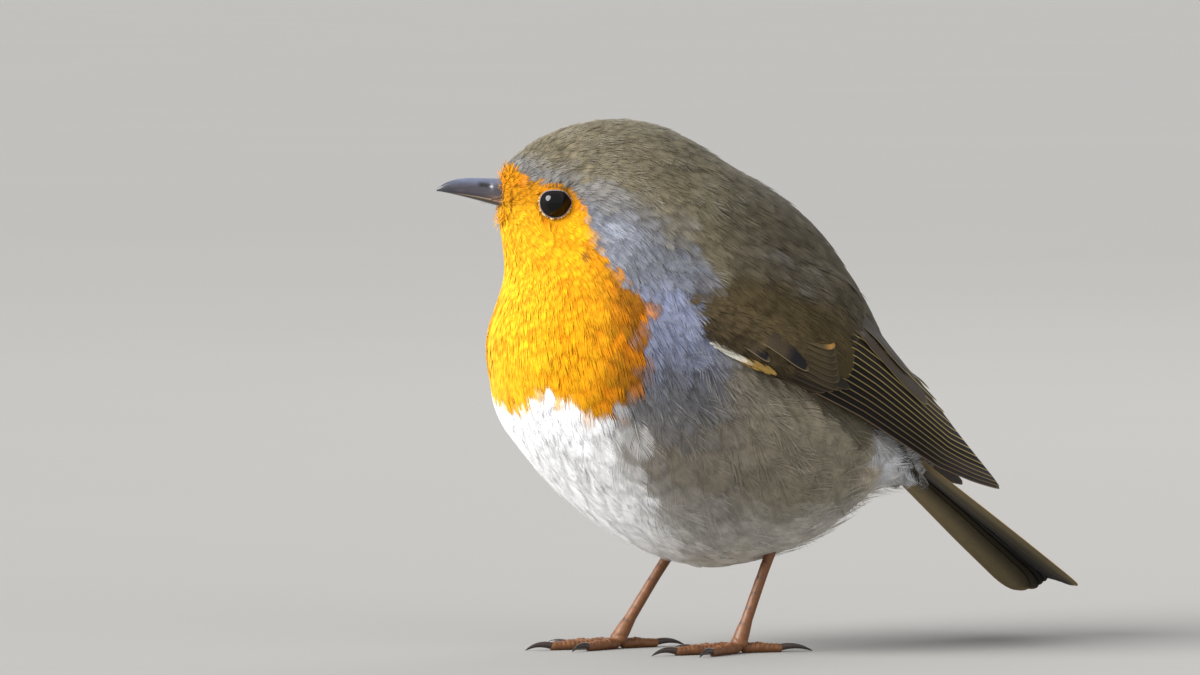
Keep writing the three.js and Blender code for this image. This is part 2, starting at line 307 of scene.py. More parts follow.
def settle(piece: bpy.types.Object, slot: str, *nodes: str) -> None:
    """Ride a finished piece on the body, and say what it is.

    Args:
        piece: The object, finished.
        slot: Its slot.
        nodes: The CAD nodes that it stands for.
    """
    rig.ride(piece, BODY)
    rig.slot(piece, slot)
    if nodes:
        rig.replaces(piece, *nodes)
    LOG.info("%-26s %7d faces, %s", piece.name, len(piece.data.polygons), slot)


@dataclass
class Heap:
    """Mesh parts gathered into one set of arrays."""

    points: list[Array] = field(default_factory=list)
    faces: list[Array] = field(default_factory=list)
    extras: dict[str, list[Array]] = field(default_factory=dict)
    count: int = 0

    def add(self, points: Array, faces: Array, **extras: Array) -> None:
        """Add a part.

        Args:
            points: Its vertices.
            faces: Its faces, numbered from 0.
            extras: Colours, maps or normals, one row or one for each point.
        """
        self.points.append(points)
        self.faces.append(faces + self.count)
        self.count += len(points)
        for key, rows in extras.items():
            rows = np.broadcast_to(rows, (len(points), np.asarray(rows).shape[-1]))
            self.extras.setdefault(key, []).append(rows)

    def build(self, name: str, material: Material, maps: Sequence[str] = (),
              seam: float = 0.0) -> bpy.types.Object:
        """Make the object.

        Args:
            name: The object's name.
            material: The finish.
            maps: Which extras are UV maps. The rest are colours.
            seam: The width of a UV strip that closes on itself, or 0.

        Returns:
            The linked object.
        """
        rows = {key: np.concatenate(parts) for key, parts in self.extras.items()}
        lie = rows.pop(LIE, None)
        return mesh_object(name, np.concatenate(self.points), np.concatenate(self.faces), material,
                           {k: v for k, v in rows.items() if k not in maps}, {k: rows[k] for k in maps},
                           seam, lie)


def tube_faces(rings: int, around: int) -> Array:
    """Number the quads of a tube of rings, whose two ends are closed by folded fans.

    Args:
        rings: How many rings.
        around: Points in each, an even number.

    Returns:
        Quads, (m, 4).
    """
    k, j = np.meshgrid(np.arange(rings - 1), np.arange(around), indexing="ij")
    here, after = k * around + j, k * around + (j + 1) % around
    walls = np.stack([here, after, after + around, here + around], -1).reshape(-1, 4)
    pairs = np.arange(around // 2 - 1)
    caps = np.stack([pairs, around - 1 - pairs, around - 2 - pairs, pairs + 1], -1)
    last = (rings - 1) * around + caps[:, ::-1]
    return np.concatenate([walls, caps, last])


def facing_out(points: Array, quads: Array) -> Array:
    """Turn the quads of a closed mesh over where it encloses a negative volume."""
    a, b, c, d = (points[quads[:, i]] - points.mean(0) for i in range(4))
    volume = np.sum(np.cross(a, b) * c) + np.sum(np.cross(a, c) * d)
    return quads if volume > 0.0 else quads[:, ::-1]


def tube(path: Array, radii: Array, across: Array, around: int) -> tuple[Array, Array]:
    """Loft a tube along a path.

    Args:
        path: Its middle line, (n, 3).
        radii: Its radius at each point, (n,), or at each point of each ring, (n, around).
        across: The way that its rings start from.
        around: Points in each ring, an even number.

    Returns:
        Points and quads, whose faces point outwards.
    """
    along = unit(np.gradient(path, axis=0))
    side = unit(across - along * np.sum(across * along, -1, keepdims=True))
    up = np.cross(along, side)
    turn = circle(around)[:, None]
    wide = radii.reshape(len(path), -1, 1)
    ring = path[:, None] + side[:, None] * np.cos(turn) * wide + up[:, None] * np.sin(turn) * wide
    points = ring.reshape(-1, 3)
    return points, facing_out(points, tube_faces(len(path), around))


# ---- node trees and finishes


class Wire:
    """A node's output that Python's operators turn into Math nodes."""

    def __init__(self, graph: "Graph", socket: bpy.types.NodeSocket) -> None:
        """Hold the socket and the graph that it belongs to."""
        self.graph, self.socket = graph, socket

    def _math(self, operation: str, *values: "Wire | float") -> "Wire":
        """Add one Math node."""
        return self.graph.node("ShaderNodeMath", {"operation": operation}, dict(enumerate(values)))

    def __add__(self, other: "Wire | float") -> "Wire":
        """Add."""
        return self._math("ADD", self, other)

    def __sub__(self, other: "Wire | float") -> "Wire":
        """Subtract."""
        return self._math("SUBTRACT", self, other)

    def __rsub__(self, other: float) -> "Wire":
        """Subtract from a number."""
        return self._math("SUBTRACT", other, self)

    def __mul__(self, other: "Wire | float") -> "Wire":
        """Multiply."""
        return self._math("MULTIPLY", self, other)

    __radd__, __rmul__ = __add__, __mul__

    def sine(self) -> "Wire":
        """Take the sine."""
        return self._math("SINE", self)

    def step(self, low: float, high: float) -> "Wire":
        """Rise smoothly from 0 at low to 1 at high."""
        return self.graph.node("ShaderNodeMapRange", {"interpolation_type": "SMOOTHSTEP"},
                               {"Value": self, "From Min": low, "From Max": high})


class Graph:
    """A node tree under construction."""

    def __init__(self, tree: bpy.types.NodeTree) -> None:
        """Empty the tree."""
        self.tree = tree
        tree.nodes.clear()

    def node(self, kind: str, settings: dict | None = None, values: dict | None = None,
             output: int | str = 0) -> Wire | None:
        """Add a node.

        Args:
            kind: Its type.
            settings: Its own properties, set first.
            values: Numbers, colours or wires for its input sockets, by name or number.
            output: The output socket wanted.

        Returns:
            That output as a wire, or None where the node has no output.
        """
        made = self.tree.nodes.new(kind)
        for key, value in (settings or {}).items():
            setattr(made, key, value)
        for key, value in (values or {}).items():
            if isinstance(value, Wire):
                self.tree.links.new(value.socket, made.inputs[key])
            else:
                made.inputs[key].default_value = value
        return Wire(self, made.outputs[output]) if made.outputs else None


class Shader(Graph):
    """A material under construction, patterned by object coordinates and the piece's own data."""

    def __init__(self, name: str) -> None:
        """Start an empty node material."""
        self.material = bpy.data.materials.new(name)
        self.material.use_nodes = True
        super().__init__(self.material.node_tree)

    def noise(self, scale: float, detail: float = 2.0, stretch: Sequence[float] = (1, 1, 1)) -> Wire:
        """Read noise at object coordinates, with scale in turns to the millimetre."""
        place = self.node("ShaderNodeTexCoord", output="Object")
        place = self.node("ShaderNodeMapping", {}, {"Vector": place, "Scale": stretch})
        return self.node("ShaderNodeTexNoise", {}, {"Vector": place, "Scale": scale / MM, "Detail": detail})

    def colour(self, name: str = PLUMAGE) -> Wire:
        """Read a vertex colour."""
        return self.node("ShaderNodeAttribute", {"attribute_name": name}, output="Color")

    def blend(self, factor: Wire | float, a: Wire | Sequence[float], b: Wire, way: str = "MIX") -> Wire:
        """Blend two colours."""
        kind = {"data_type": "RGBA", "blend_type": way}
        return self.node("ShaderNodeMix", kind, {0: factor, 6: a, 7: b}, 2)

    def toned(self, tone: Wire, base: Sequence[float] | None = None) -> Wire:
        """Multiply the plumage colour, or another, by a number."""
        grey = self.node("ShaderNodeCombineColor", {}, {0: tone, 1: tone, 2: tone})
        return self.blend(1.0, self.colour() if base is None else base, grey, "MULTIPLY")

    def vane(self) -> tuple[Wire, Wire]:
        """Read a vane's own map: mm from its outer edge, and mm from its tip."""
        spot = self.node("ShaderNodeUVMap", {"uv_map": VANE_MAP})
        return tuple(self.node("ShaderNodeSeparateXYZ", {}, {0: spot}, axis) for axis in (0, 1))

    def bump(self, height: Wire, depth: float, strength: float) -> Wire:
        """Turn a height into a normal, depth in mm."""
        values = {"Strength": strength, "Distance": depth * MM, "Height": height}
        return self.node("ShaderNodeBump", {}, values)

    def finish(self, **sockets: Wire | float) -> Material:
        """End in a Principled shader whose sockets are named with underscores."""
        values = {key.replace("_", " "): value for key, value in sockets.items()}
        surface = self.node("ShaderNodeBsdfPrincipled", {}, values)
        self.node("ShaderNodeOutputMaterial", {}, {"Surface": surface})
        return self.material


@dataclass(frozen=True)
class BarbFinish:
    """Loose contour feathers: matt, a little silky, in their own colours."""

    name: str = "contour_feather"
    rough: float = 0.8
    sheen: float = 0.1
    gloss: float = 0.06

    def make(self) -> Material:
        """Build the material."""
        s = Shader(self.name)
        return s.finish(Base_Color=s.toned(s.noise(0.9, 3.0) * 0.5 + 0.75), Roughness=self.rough,
                        Sheen_Weight=self.sheen, Specular_IOR_Level=self.gloss)


@dataclass(frozen=True)
class SkinFinish:
    """The ground under the coat: downy, darker than the tips, and finely creased."""

    name: str = "downy_skin"
    rough: float = 0.9
    gloss: float = 0.1
    crease: float = 0.35

    def make(self) -> Material:
        """Build the material."""
        s = Shader(self.name)
        down = s.noise(2.2, 4.0)
        return s.finish(Base_Color=s.toned(down * 0.6 + 0.62), Roughness=self.rough,
                        Specular_IOR_Level=self.gloss, Normal=s.bump(down, self.crease, 0.8))


@dataclass(frozen=True)
class VaneFinish:
    """Flight and tail quills: close barbs, a pale outer edge and a darker inner web."""

    name: str = "quill_vane"
    edge: float = 0.2
    pitch: float = 0.3
    slant: float = 1.7
    gloss: float = 0.15

    def make(self) -> Material:
        """Build the material.

        Returns:
            The material.
        """
        s = Shader(self.name)
        out, run = s.vane()
        fringe = 1.0 - out.step(self.edge * 0.55, self.edge * 1.15)
        end = 1.0 - run.step(0.25, 0.9)
        barbs = ((run + out * self.slant) * (2.0 * math.pi / self.pitch)).sine() * 0.5 + 0.5
        streak = s.noise(0.7, 3.0)
        body = s.toned(barbs * 0.4 + streak * 0.5 + 0.5)
        return s.finish(Base_Color=s.blend(fringe * 0.92 + end * 0.35, body, s.colour(FRINGE)),
                        Roughness=streak * 0.2 + 0.5, Specular_IOR_Level=self.gloss,
                        Normal=s.bump(barbs, 0.03, 0.5))


@dataclass(frozen=True)
class HornFinish:
    """Bill and claws: smooth dark horn with fine growth lines."""

    name: str
    rough: float = 0.32
    grain: float = 1.6
    coat: float = 0.25

    def make(self) -> Material:
        """Build the material."""
        s = Shader(self.name)
        grain = s.noise(self.grain, 4.0, (0.35, 0.35, 1.6))
        return s.finish(Base_Color=s.toned(grain * 0.7 + 0.62), Roughness=grain * 0.3 + self.rough - 0.12,
                        Coat_Weight=self.coat, Normal=s.bump(grain, 0.05, 0.6))


@dataclass(frozen=True)
class LegFinish:
    """Bare shanks and toes: thin horny scutes over reddish brown skin."""

    name: str = "leg_scutes"
    gloss: float = 0.45
    crease: float = 0.06

    def make(self) -> Material:
        """Build the material."""
        s = Shader(self.name)
        mottle, crease = s.noise(1.1, 4.0), s.noise(5.0)
        return s.finish(Base_Color=s.toned(mottle * 0.9 + 0.5), Roughness=mottle * 0.35 + 0.28,
                        Specular_IOR_Level=self.gloss, Normal=s.bump(crease, self.crease, 0.7))


@dataclass(frozen=True)
class EyeFinish:
    """The eyeball: almost black, wet and clear."""

    name: str = "wet_eye"
    rough: float = 0.04
    gloss: float = 0.25

    def make(self) -> Material:
        """Build the material."""
        s = Shader(self.name)
        return s.finish(Base_Color=s.toned(s.noise(3.0, 3.0) * 0.8 + 0.6), Roughness=self.rough,
                        Specular_IOR_Level=self.gloss)


@dataclass(frozen=True)
class FloorFinish:
    """A plain pale floor."""

    name: str = "pale_floor"
    colour: str = "8f8d89"
    rough: float = 0.85
    gloss: float = 0.2

    def make(self) -> Material:
        """Build the material."""
        s = Shader(self.name)
        base = s.toned(s.noise(0.004) * 0.04 + 0.98, (*paint(self.colour), 1.0))
        return s.finish(Base_Color=base, Roughness=self.rough, Specular_IOR_Level=self.gloss)


# ---- the bird's own axes


class Head:
    """The head's middle plane and directions, from the two eyes and the bill."""

    AIM = math.radians(6.0)

    def __init__(self) -> None:
        """Read them from the frame."""
        self.eyes = {side: pin(f"eye_{side}", (0.5, 0.5, 0.5)) for side in Side}
        left, right = self.eyes.values()
        self.middle = (left + right) / 2.0
        self.left = unit(left - right)
        self.ahead = np.array([self.left[1], -self.left[0], 0.0])
        self.bill_root = self.place(9.4, 0.0, 1.4)

    def place(self, ahead: float | Array, left: float | Array, up: float | Array) -> Array:
        """Find points by their distances from between the eyes."""
        ahead, left, up = np.broadcast_arrays(*(np.asarray(v, float) for v in (ahead, left, up)))
        return (self.middle + ahead[..., None] * self.ahead + left[..., None] * self.left
                + up[..., None] * UP)

    def aim(self, side: Side) -> Array:
        """Give the way that an eye looks, outwards and a little ahead."""
        return -side.value * self.left * math.cos(self.AIM) + self.ahead * math.sin(self.AIM)

    def fold(self, points: Array) -> Array:
        """Mirror the points on the head's right onto its left."""
        over = (points - self.middle) @ self.left
        return points + self.left * np.where(over < 0.0, -2.0 * over, 0.0)[..., None]

    def radius(self, side: Side) -> float:
        """Read an eyeball's radius from the frame."""
        low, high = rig.box(f"eye_{side}")
        return float(high.z - low.z) / 2.0 / MM

    def from_eye(self, points: Array, side: Side) -> tuple[Array, Array, Array]:
        """Measure points from an eye.

        Args:
            points: Places, (n, 3).
            side: Which eye.

        Returns:
            Offsets from its middle, distances along its aim, and offsets from its aim's line.
        """
        off, aim = points - self.eyes[side], self.aim(side)
        tall = off @ aim
        return off, tall, off - tall[..., None] * aim


@dataclass
class Markings:
    """Where each colour of the plumage lies, on the left profile and mirrored to the right.

    A profile place is q, along the side as seen from 25 degrees ahead of square, and z, the height.
    """

    head: Head
    wings: "dict[Side, Wing]"
    turn: float = math.radians(25.0)
    bib: Table = (
        (-70, 84.4), (-46.5, 83.6), (-43.9, 83.9), (-40.6, 82.2), (-36.4, 81.0), (-33.2, 79.6),
        (-31.4, 76.0), (-29.9, 72.8), (-28.6, 69.4), (-26.8, 66.8), (-23.9, 64.8), (-21.6, 61.4),
        (-20.6, 56.4), (-19.9, 51.2), (-21.0, 46.2), (-24.0, 42.4), (-27.0, 40.4), (-31.0, 41.4),
        (-35.0, 43.2), (-38.2, 44.4), (-41.2, 42.0), (-45.0, 39.8), (-70, 39.4))
    crown_line: Table = (
        (-70, 85.6), (-46.5, 84.6), (-35.6, 81.0), (-28.7, 78.4), (-18.4, 74.9), (-11.5, 70.6),
        (-8, 64), (-6, 55), (0, 48), (10, 42), (25, 37.5), (60, 16))
    white_line: Table = (
        (8, -6), (14, -10), (20, -15), (26, -20.5), (31, -25), (36, -27), (41, -28.5), (46, -31))

    def profile(self, points: Array) -> tuple[Array, Array]:
        """Find the profile places of points.

        Args:
            points: Places on the bird, (..., 3).

        Returns:
            Distances along the profile, and heights.
        """
        z = points[..., 2]
        body = math.cos(self.turn) * points[..., 0] + math.sin(self.turn) * np.abs(points[..., 1])
        near = self.head.fold(points)
        head = math.cos(self.turn) * near[..., 0] - math.sin(self.turn) * near[..., 1]
        return mix(body, head, ramp(58.0, 70.0, z)), z

    def bib_depth(self, q: Array, z: Array) -> Array:
        """Measure how deep profile places lie in the orange bib.

        Args:
            q: Distances along the profile.
            z: Heights.

        Returns:
            Distances inside its edge, negative outside.
        """
        outline = np.array(self.bib, float)
        spot = np.stack([q, z], -1)
        nearest, inside = np.full(q.shape, 1e9), np.zeros(q.shape, bool)
        for a, b in zip(outline, np.roll(outline, -1, axis=0)):
            way = b - a
            t = np.clip((spot - a) @ way / (way @ way), 0.0, 1.0)
            nearest = np.minimum(nearest, np.linalg.norm(spot - a - t[..., None] * way, axis=-1))
            crosses = (a[1] > z) != (b[1] > z)
            inside ^= crosses & (q < a[0] + way[0] * (z - a[1]) / (way[1] if way[1] else 1e-9))
        return np.where(inside, nearest, -nearest)

    def regions(self, points: Array, normals: Array) -> dict[str, Array]:
        """Weigh each region of the plumage.

        Args:
            points: Places on the bird, (..., 3).
            normals: The surface's normals there.

        Returns:
            Weights by region, and the rippled profile places q and z.
        """
        x = points[..., 0]
        q, z = self.profile(points)
        q = q + 0.7 * ripple(points, 9.0, 3) + 0.4 * ripple(points, 3.0, 4)
        z = z + 0.8 * ripple(points, 8.0, 5) + 0.5 * ripple(points, 2.6, 6)
        over_line = z - read(self.crown_line, q)
        over_tail = points[..., 2] - 41.0 + 0.767 * (x - 15.4)
        soft = 1.3 + 3.4 * ramp(-36.0, -26.0, q) * ramp(54.0, 62.0, z)
        upper = np.maximum(ramp(-1.0, 1.0, over_line / soft), ramp(6.0, 12.0, x) * ramp(-2.0, 0.5, over_tail))
        cheek = ramp(66.0, 70.0, z) * ramp(80.0, 76.0, z)
        under = ramp(0.45, 0.95, -normals[..., 2]) * 0.75
        white = 1.0 - ramp(-3.5, 7.5, q - read(self.white_line, z))
        return {
            "q": q, "z": z, "upper": upper,
            "bib": ramp(-1.0, 1.0, self.bib_depth(q, z) / (0.5 + 0.4 * cheek)),
            "wing": np.maximum(*(wing.owns(points) for wing in self.wings.values())),
            # Painted shadow on the flank, close under the wings.
            "tuck": np.maximum(*(wing.shades(points) for wing in self.wings.values())),
            "white": np.maximum(white * ramp(50.0, 46.0, z), under),
            # The rear of the downward-facing underside, which takes painted shade.
            "under": ramp(-26.0, -6.0, q) * under,
            "vent": ramp(12.0, 17.0, x) * (1.0 - upper),
            "puff": ramp(10.0, 16.0, x) * ramp(-8.0, -11.0, over_tail),
            "grey": (1.0 - upper) * ramp(33.0, 44.0, z) * (1.0 - ramp(-11.0, -2.0, q)),
            "ear": hump((q + 26.5) / 5.2, (z - 71.4) / 4.6) * (1.0 - upper),
            "brow": ramp(4.5, 0.5, over_line) * ramp(-47.0, -44.0, q) * ramp(-16.0, -26.0, q)}

    def colour(self, points: Array, normals: Array) -> tuple[Array, dict[str, Array]]:
        """Paint the plumage.

        Args:
            points: Places on the bird, (..., 3).
            normals: The surface's normals there.

        Returns:
            The colour at each, and the regions that it came from.
        """
        r = self.regions(points, normals)
        q, z = r["q"], r["z"]
        # A pale streak across the shoulder, mixed into the olive below: painted sheen on the feathers there.
        streak = hump((z - 67.4 + 0.56 * (q - 1.1)) / 1.3, (q - 4.5) / 5.0)
        olive = layered("675f4d", ("605947", ramp(-34.0, -12.0, q)), ("4f483a", ramp(-12.0, 2.0, q)),
                        ("73757a", r["brow"] * 0.6),
                        ("6c6a66", 0.6 * streak * ramp(-0.6, 0.6, ripple(points, 2.2, 51))))
        grey = layered("5a5a5e", ("6e7388", ramp(44.0, 54.0, z)), ("5b5d64", ramp(60.0, 66.0, z)))
        blotch = ripple(points, 5.0, 14) + 0.5 * ripple(points, 1.6, 15)
        # The orange deepens from the front of the breast back and turns dark brown near its rear edge: painted shade
        # on the breast's side.
        rust = layered("dea61a", ("d5960c", ramp(-42.0, -34.0, q)), ("7d4d08", ramp(-33.0, -22.0, q)),
                       ("b3780a", ramp(72.0, 80.0, z)), ("cf7c05", 0.6 * ramp(0.0, 1.1, blotch)))
        c = layered("797164", ("877f6c", ramp(-14.0, 10.0, q)), ("eceef4", r["vent"]),
                    ("b3a283", 0.8 * r["puff"]), (grey, r["grey"]),
                    # Where the belly faces down its white turns warm buff: painted shade with a warm painted
                    # reflection from below.
                    (mix("f5f5f6", "c9c0ae", r["under"]), r["white"]), ("898d98", r["ear"] * 0.8))
        c = c * (1.0 - 0.4 * r["ear"] * ramp(0.0, 0.9, ripple(points, 1.5, 41)))[..., None]
        # Two thin dark lines of painted shadow: in the fold between the ear coverts and the throat, and in the crease
        # above the lore.
        crease = hump((z - 68.9 - 0.69 * (q + 29.9)) / 0.45, (q + 29.9) / 1.9)
        lore_shadow = hump((z - 80.9 + 0.35 * (q + 40.3)) / 0.45, (q + 40.3) / 1.3)
        # The flank under the wings is darkened here: painted shadow of the wing.
        c = layered(c, (c * (0.46, 0.44, 0.40), r["tuck"]), (olive, r["upper"]), ("4e432c", r["wing"]),
                    (rust, r["bib"]), ("3d2c1c", 0.75 * crease + 0.55 * lore_shadow))
        patch = ripple(points, 5.0, 11)[..., None] * 0.06 + ripple(points, 1.7, 12)[..., None] * 0.06
        return np.clip(c * (1.0 + patch), 0.0, 1.0), r


# ---- the body's outline


@dataclass
class Outline:
    """The soft plumage's outer surface, closed over the cuts between the CAD's solids of flesh."""

    head: Head
    solids: Sequence[str] = ("head", "neck", "trunk", "wing_left", "wing_right")
    overlap: float = 0.25
    voxel: float = 0.8
    rim: float = 1.75
    orbit: tuple[float, float] = (2.9, 5.4)
    wander: float = 0.3

    def __post_init__(self) -> None:
        """Join, remesh and smooth the solids, then unwrap the result."""
        mesh = self._joined()
        self.uv = self._unwrap(mesh)
        self.points = self._read(mesh.vertices, "co")
        self.normals = unit(self._read(mesh.vertices, "normal"))
        self.faces = np.array([p.vertices[:] for p in mesh.polygons])
        bpy.data.meshes.remove(mesh)
        body = ramp(70.0, 56.0, self.points[:, 2]) * ramp(26.0, 16.0, self.points[:, 0])
        self.points += self.normals * (body * self.wander * ripple(self.points, 11.0, 31))[:, None]
        for side in Side:
            _, tall, beside = self.head.from_eye(self.points, side)
            ring = np.linalg.norm(beside, axis=1)
            wanted = mix(self.rim, tall, ramp(*self.orbit, ring))
            shift = np.where((tall > -1.5) & (ring < self.orbit[1]), wanted - tall, 0.0)
            self.points += self.head.aim(side) * shift[:, None]
        self.tree = BVHTree.FromPolygons(self.points.tolist(), self.faces.tolist())

    def _joined(self) -> bpy.types.Mesh:
        """Join the solids and the balls that fill the sockets into one smooth shell, still in mm.

        Returns:
            The shell's mesh.
        """
        heap = Heap()
        for node in self.solids:
            heap.add(*self._swollen(node))
        for side in Side:
            heap.add(*self._ball(self.head.eyes[side] - self.head.aim(side) * 2.6, 4.5))
        heap.add(*self._ball(self.head.place(5.4, 0.0, 0.8), 3.0))
        rough = mesh_object("outline", np.concatenate(heap.points) / MM, np.concatenate(heap.faces),
                            bpy.data.materials.new("outline"))
        remesh = rough.modifiers.new("Remesh", "REMESH")
        remesh.mode, remesh.voxel_size = "VOXEL", self.voxel
        soften = rough.modifiers.new("Smooth", "SMOOTH")
        soften.factor, soften.iterations = 0.5, 7
        rough.modifiers.new("Triangulate", "TRIANGULATE")
        mesh = bpy.data.meshes.new_from_object(rough.evaluated_get(bpy.context.evaluated_depsgraph_get()))
        bpy.data.objects.remove(rough)
        return mesh

    @staticmethod
    def _arrays(work: bmesh.types.BMesh, place: Callable[[bmesh.types.BMVert], Sequence[float]]
                ) -> tuple[Array, Array]:
        """Read a bmesh's points, each by a rule, and its faces, and free it."""
        points = np.array([place(v) for v in work.verts])
        faces = np.array([[v.index for v in f.verts] for f in work.faces])
        work.free()
        return points, faces

    def _swollen(self, node: str) -> tuple[Array, Array]:
        """Copy a CAD solid, merged and pushed out a little, so that it meets its neighbours.

        Args:
            node: Its name.

        Returns:
            Points and triangles.
        """
        work = bmesh.new()
        work.from_mesh(frame["nodes"][node].data)
        bmesh.ops.remove_doubles(work, verts=work.verts, dist=1e-6)
        bmesh.ops.triangulate(work, faces=work.faces)
        work.normal_update()
        return self._arrays(work, lambda v: v.co / MM + v.normal * self.overlap)

    def _ball(self, centre: Array, radius: float) -> tuple[Array, Array]:
        """Make a ball that fills a socket."""
        work = bmesh.new()
        bmesh.ops.create_icosphere(work, subdivisions=3, radius=radius)
        points, faces = self._arrays(work, lambda v: v.co[:])
        return points + centre, faces

    @staticmethod
    def _read(rows: bpy.types.bpy_prop_collection, key: str, width: int = 3) -> Array:
        """Read a vector property of every row."""
        values = np.zeros(len(rows) * width, np.float32)
        rows.foreach_get(key, values)
        return values.reshape(-1, width).astype(float)

    def _unwrap(self, mesh: bpy.types.Mesh) -> Array:
        """Unwrap the surface's own shape.

        Args:
            mesh: The surface.

        Returns:
            A place for each corner, (faces, 3, 2).
        """
        work = bpy.data.objects.new("unwrap", mesh)
        bpy.context.scene.collection.objects.link(work)
        bpy.context.view_layer.objects.active = work
        work.select_set(True)
        bpy.ops.object.mode_set(mode="EDIT")
        bpy.ops.mesh.select_all(action="SELECT")
        bpy.ops.uv.smart_project(angle_limit=math.radians(66.0), island_margin=0.004)
        bpy.ops.object.mode_set(mode="OBJECT")
        values = self._read(mesh.uv_layers.active.data, "uv", 2)
        bpy.data.objects.remove(work)
        return values.reshape(-1, 3, 2)

    def near(self, points: Array) -> tuple[Array, Array, Array]:
        """Find the nearest places on the surface.

        Args:
            points: Places, (n, 3).

        Returns:
            The nearest places, their smooth normals and their places on the unwrap.
        """
        found = [self.tree.find_nearest(Vector(p)) for p in points.tolist()]
        numbers = np.array([hit[2] for hit in found])
        return (np.array([hit[0] for hit in found]), unit(self.normals[self.faces[numbers]].mean(axis=1)),
                self.uv[numbers].mean(axis=1))

    def scatter(self, count: int, rng: Rng) -> tuple[Array, Array, Array]:
        """Throw points evenly over the surface.

        Args:
            count: How many.
            rng: The source of chance.

        Returns:
            Places, normals and places on the unwrap.
        """
        corner = self.points[self.faces]
        area = np.linalg.norm(np.cross(corner[:, 1] - corner[:, 0], corner[:, 2] - corner[:, 0]), axis=1)
        pick = rng.choice(len(area), count, p=area / area.sum())
        a, b = np.sqrt(rng.random(count)), rng.random(count)
        share = np.stack([1.0 - a, a * (1.0 - b), a * b], -1)[..., None]
        return ((corner[pick] * share).sum(1), unit((self.normals[self.faces[pick]] * share).sum(1)),
                (self.uv[pick] * share).sum(1))


# ---- contour feathers


@dataclass
class Tufts:
    """Feathers laid on a surface: three stations along each, and what its barbs need."""

    stations: Array  # places at root, middle and tip, (3, n, 3), on the coat's outer surface
    normals: Array  # the surface's normals there
    size: Array  # length, width, depth of the coat, lift of the tip and bend across, (n, 5)
    colours: Array  # dark ground, exposed colour and tip colour, (3, n, 3)
    roots: Array  # places on the unwrap, (n, 2)

    def pick(self, chosen: Array) -> "Tufts":
        """Keep some of the feathers."""
        return Tufts(self.stations[:, chosen], self.normals[:, chosen], self.size[chosen],
                     self.colours[:, chosen], self.roots[chosen])


def sizes(length: Array, *shares: float) -> Array:
    """Give each feather's sizes as shares of its length, for Tufts, after the length itself."""
    return length[:, None] * (1.0, *shares)


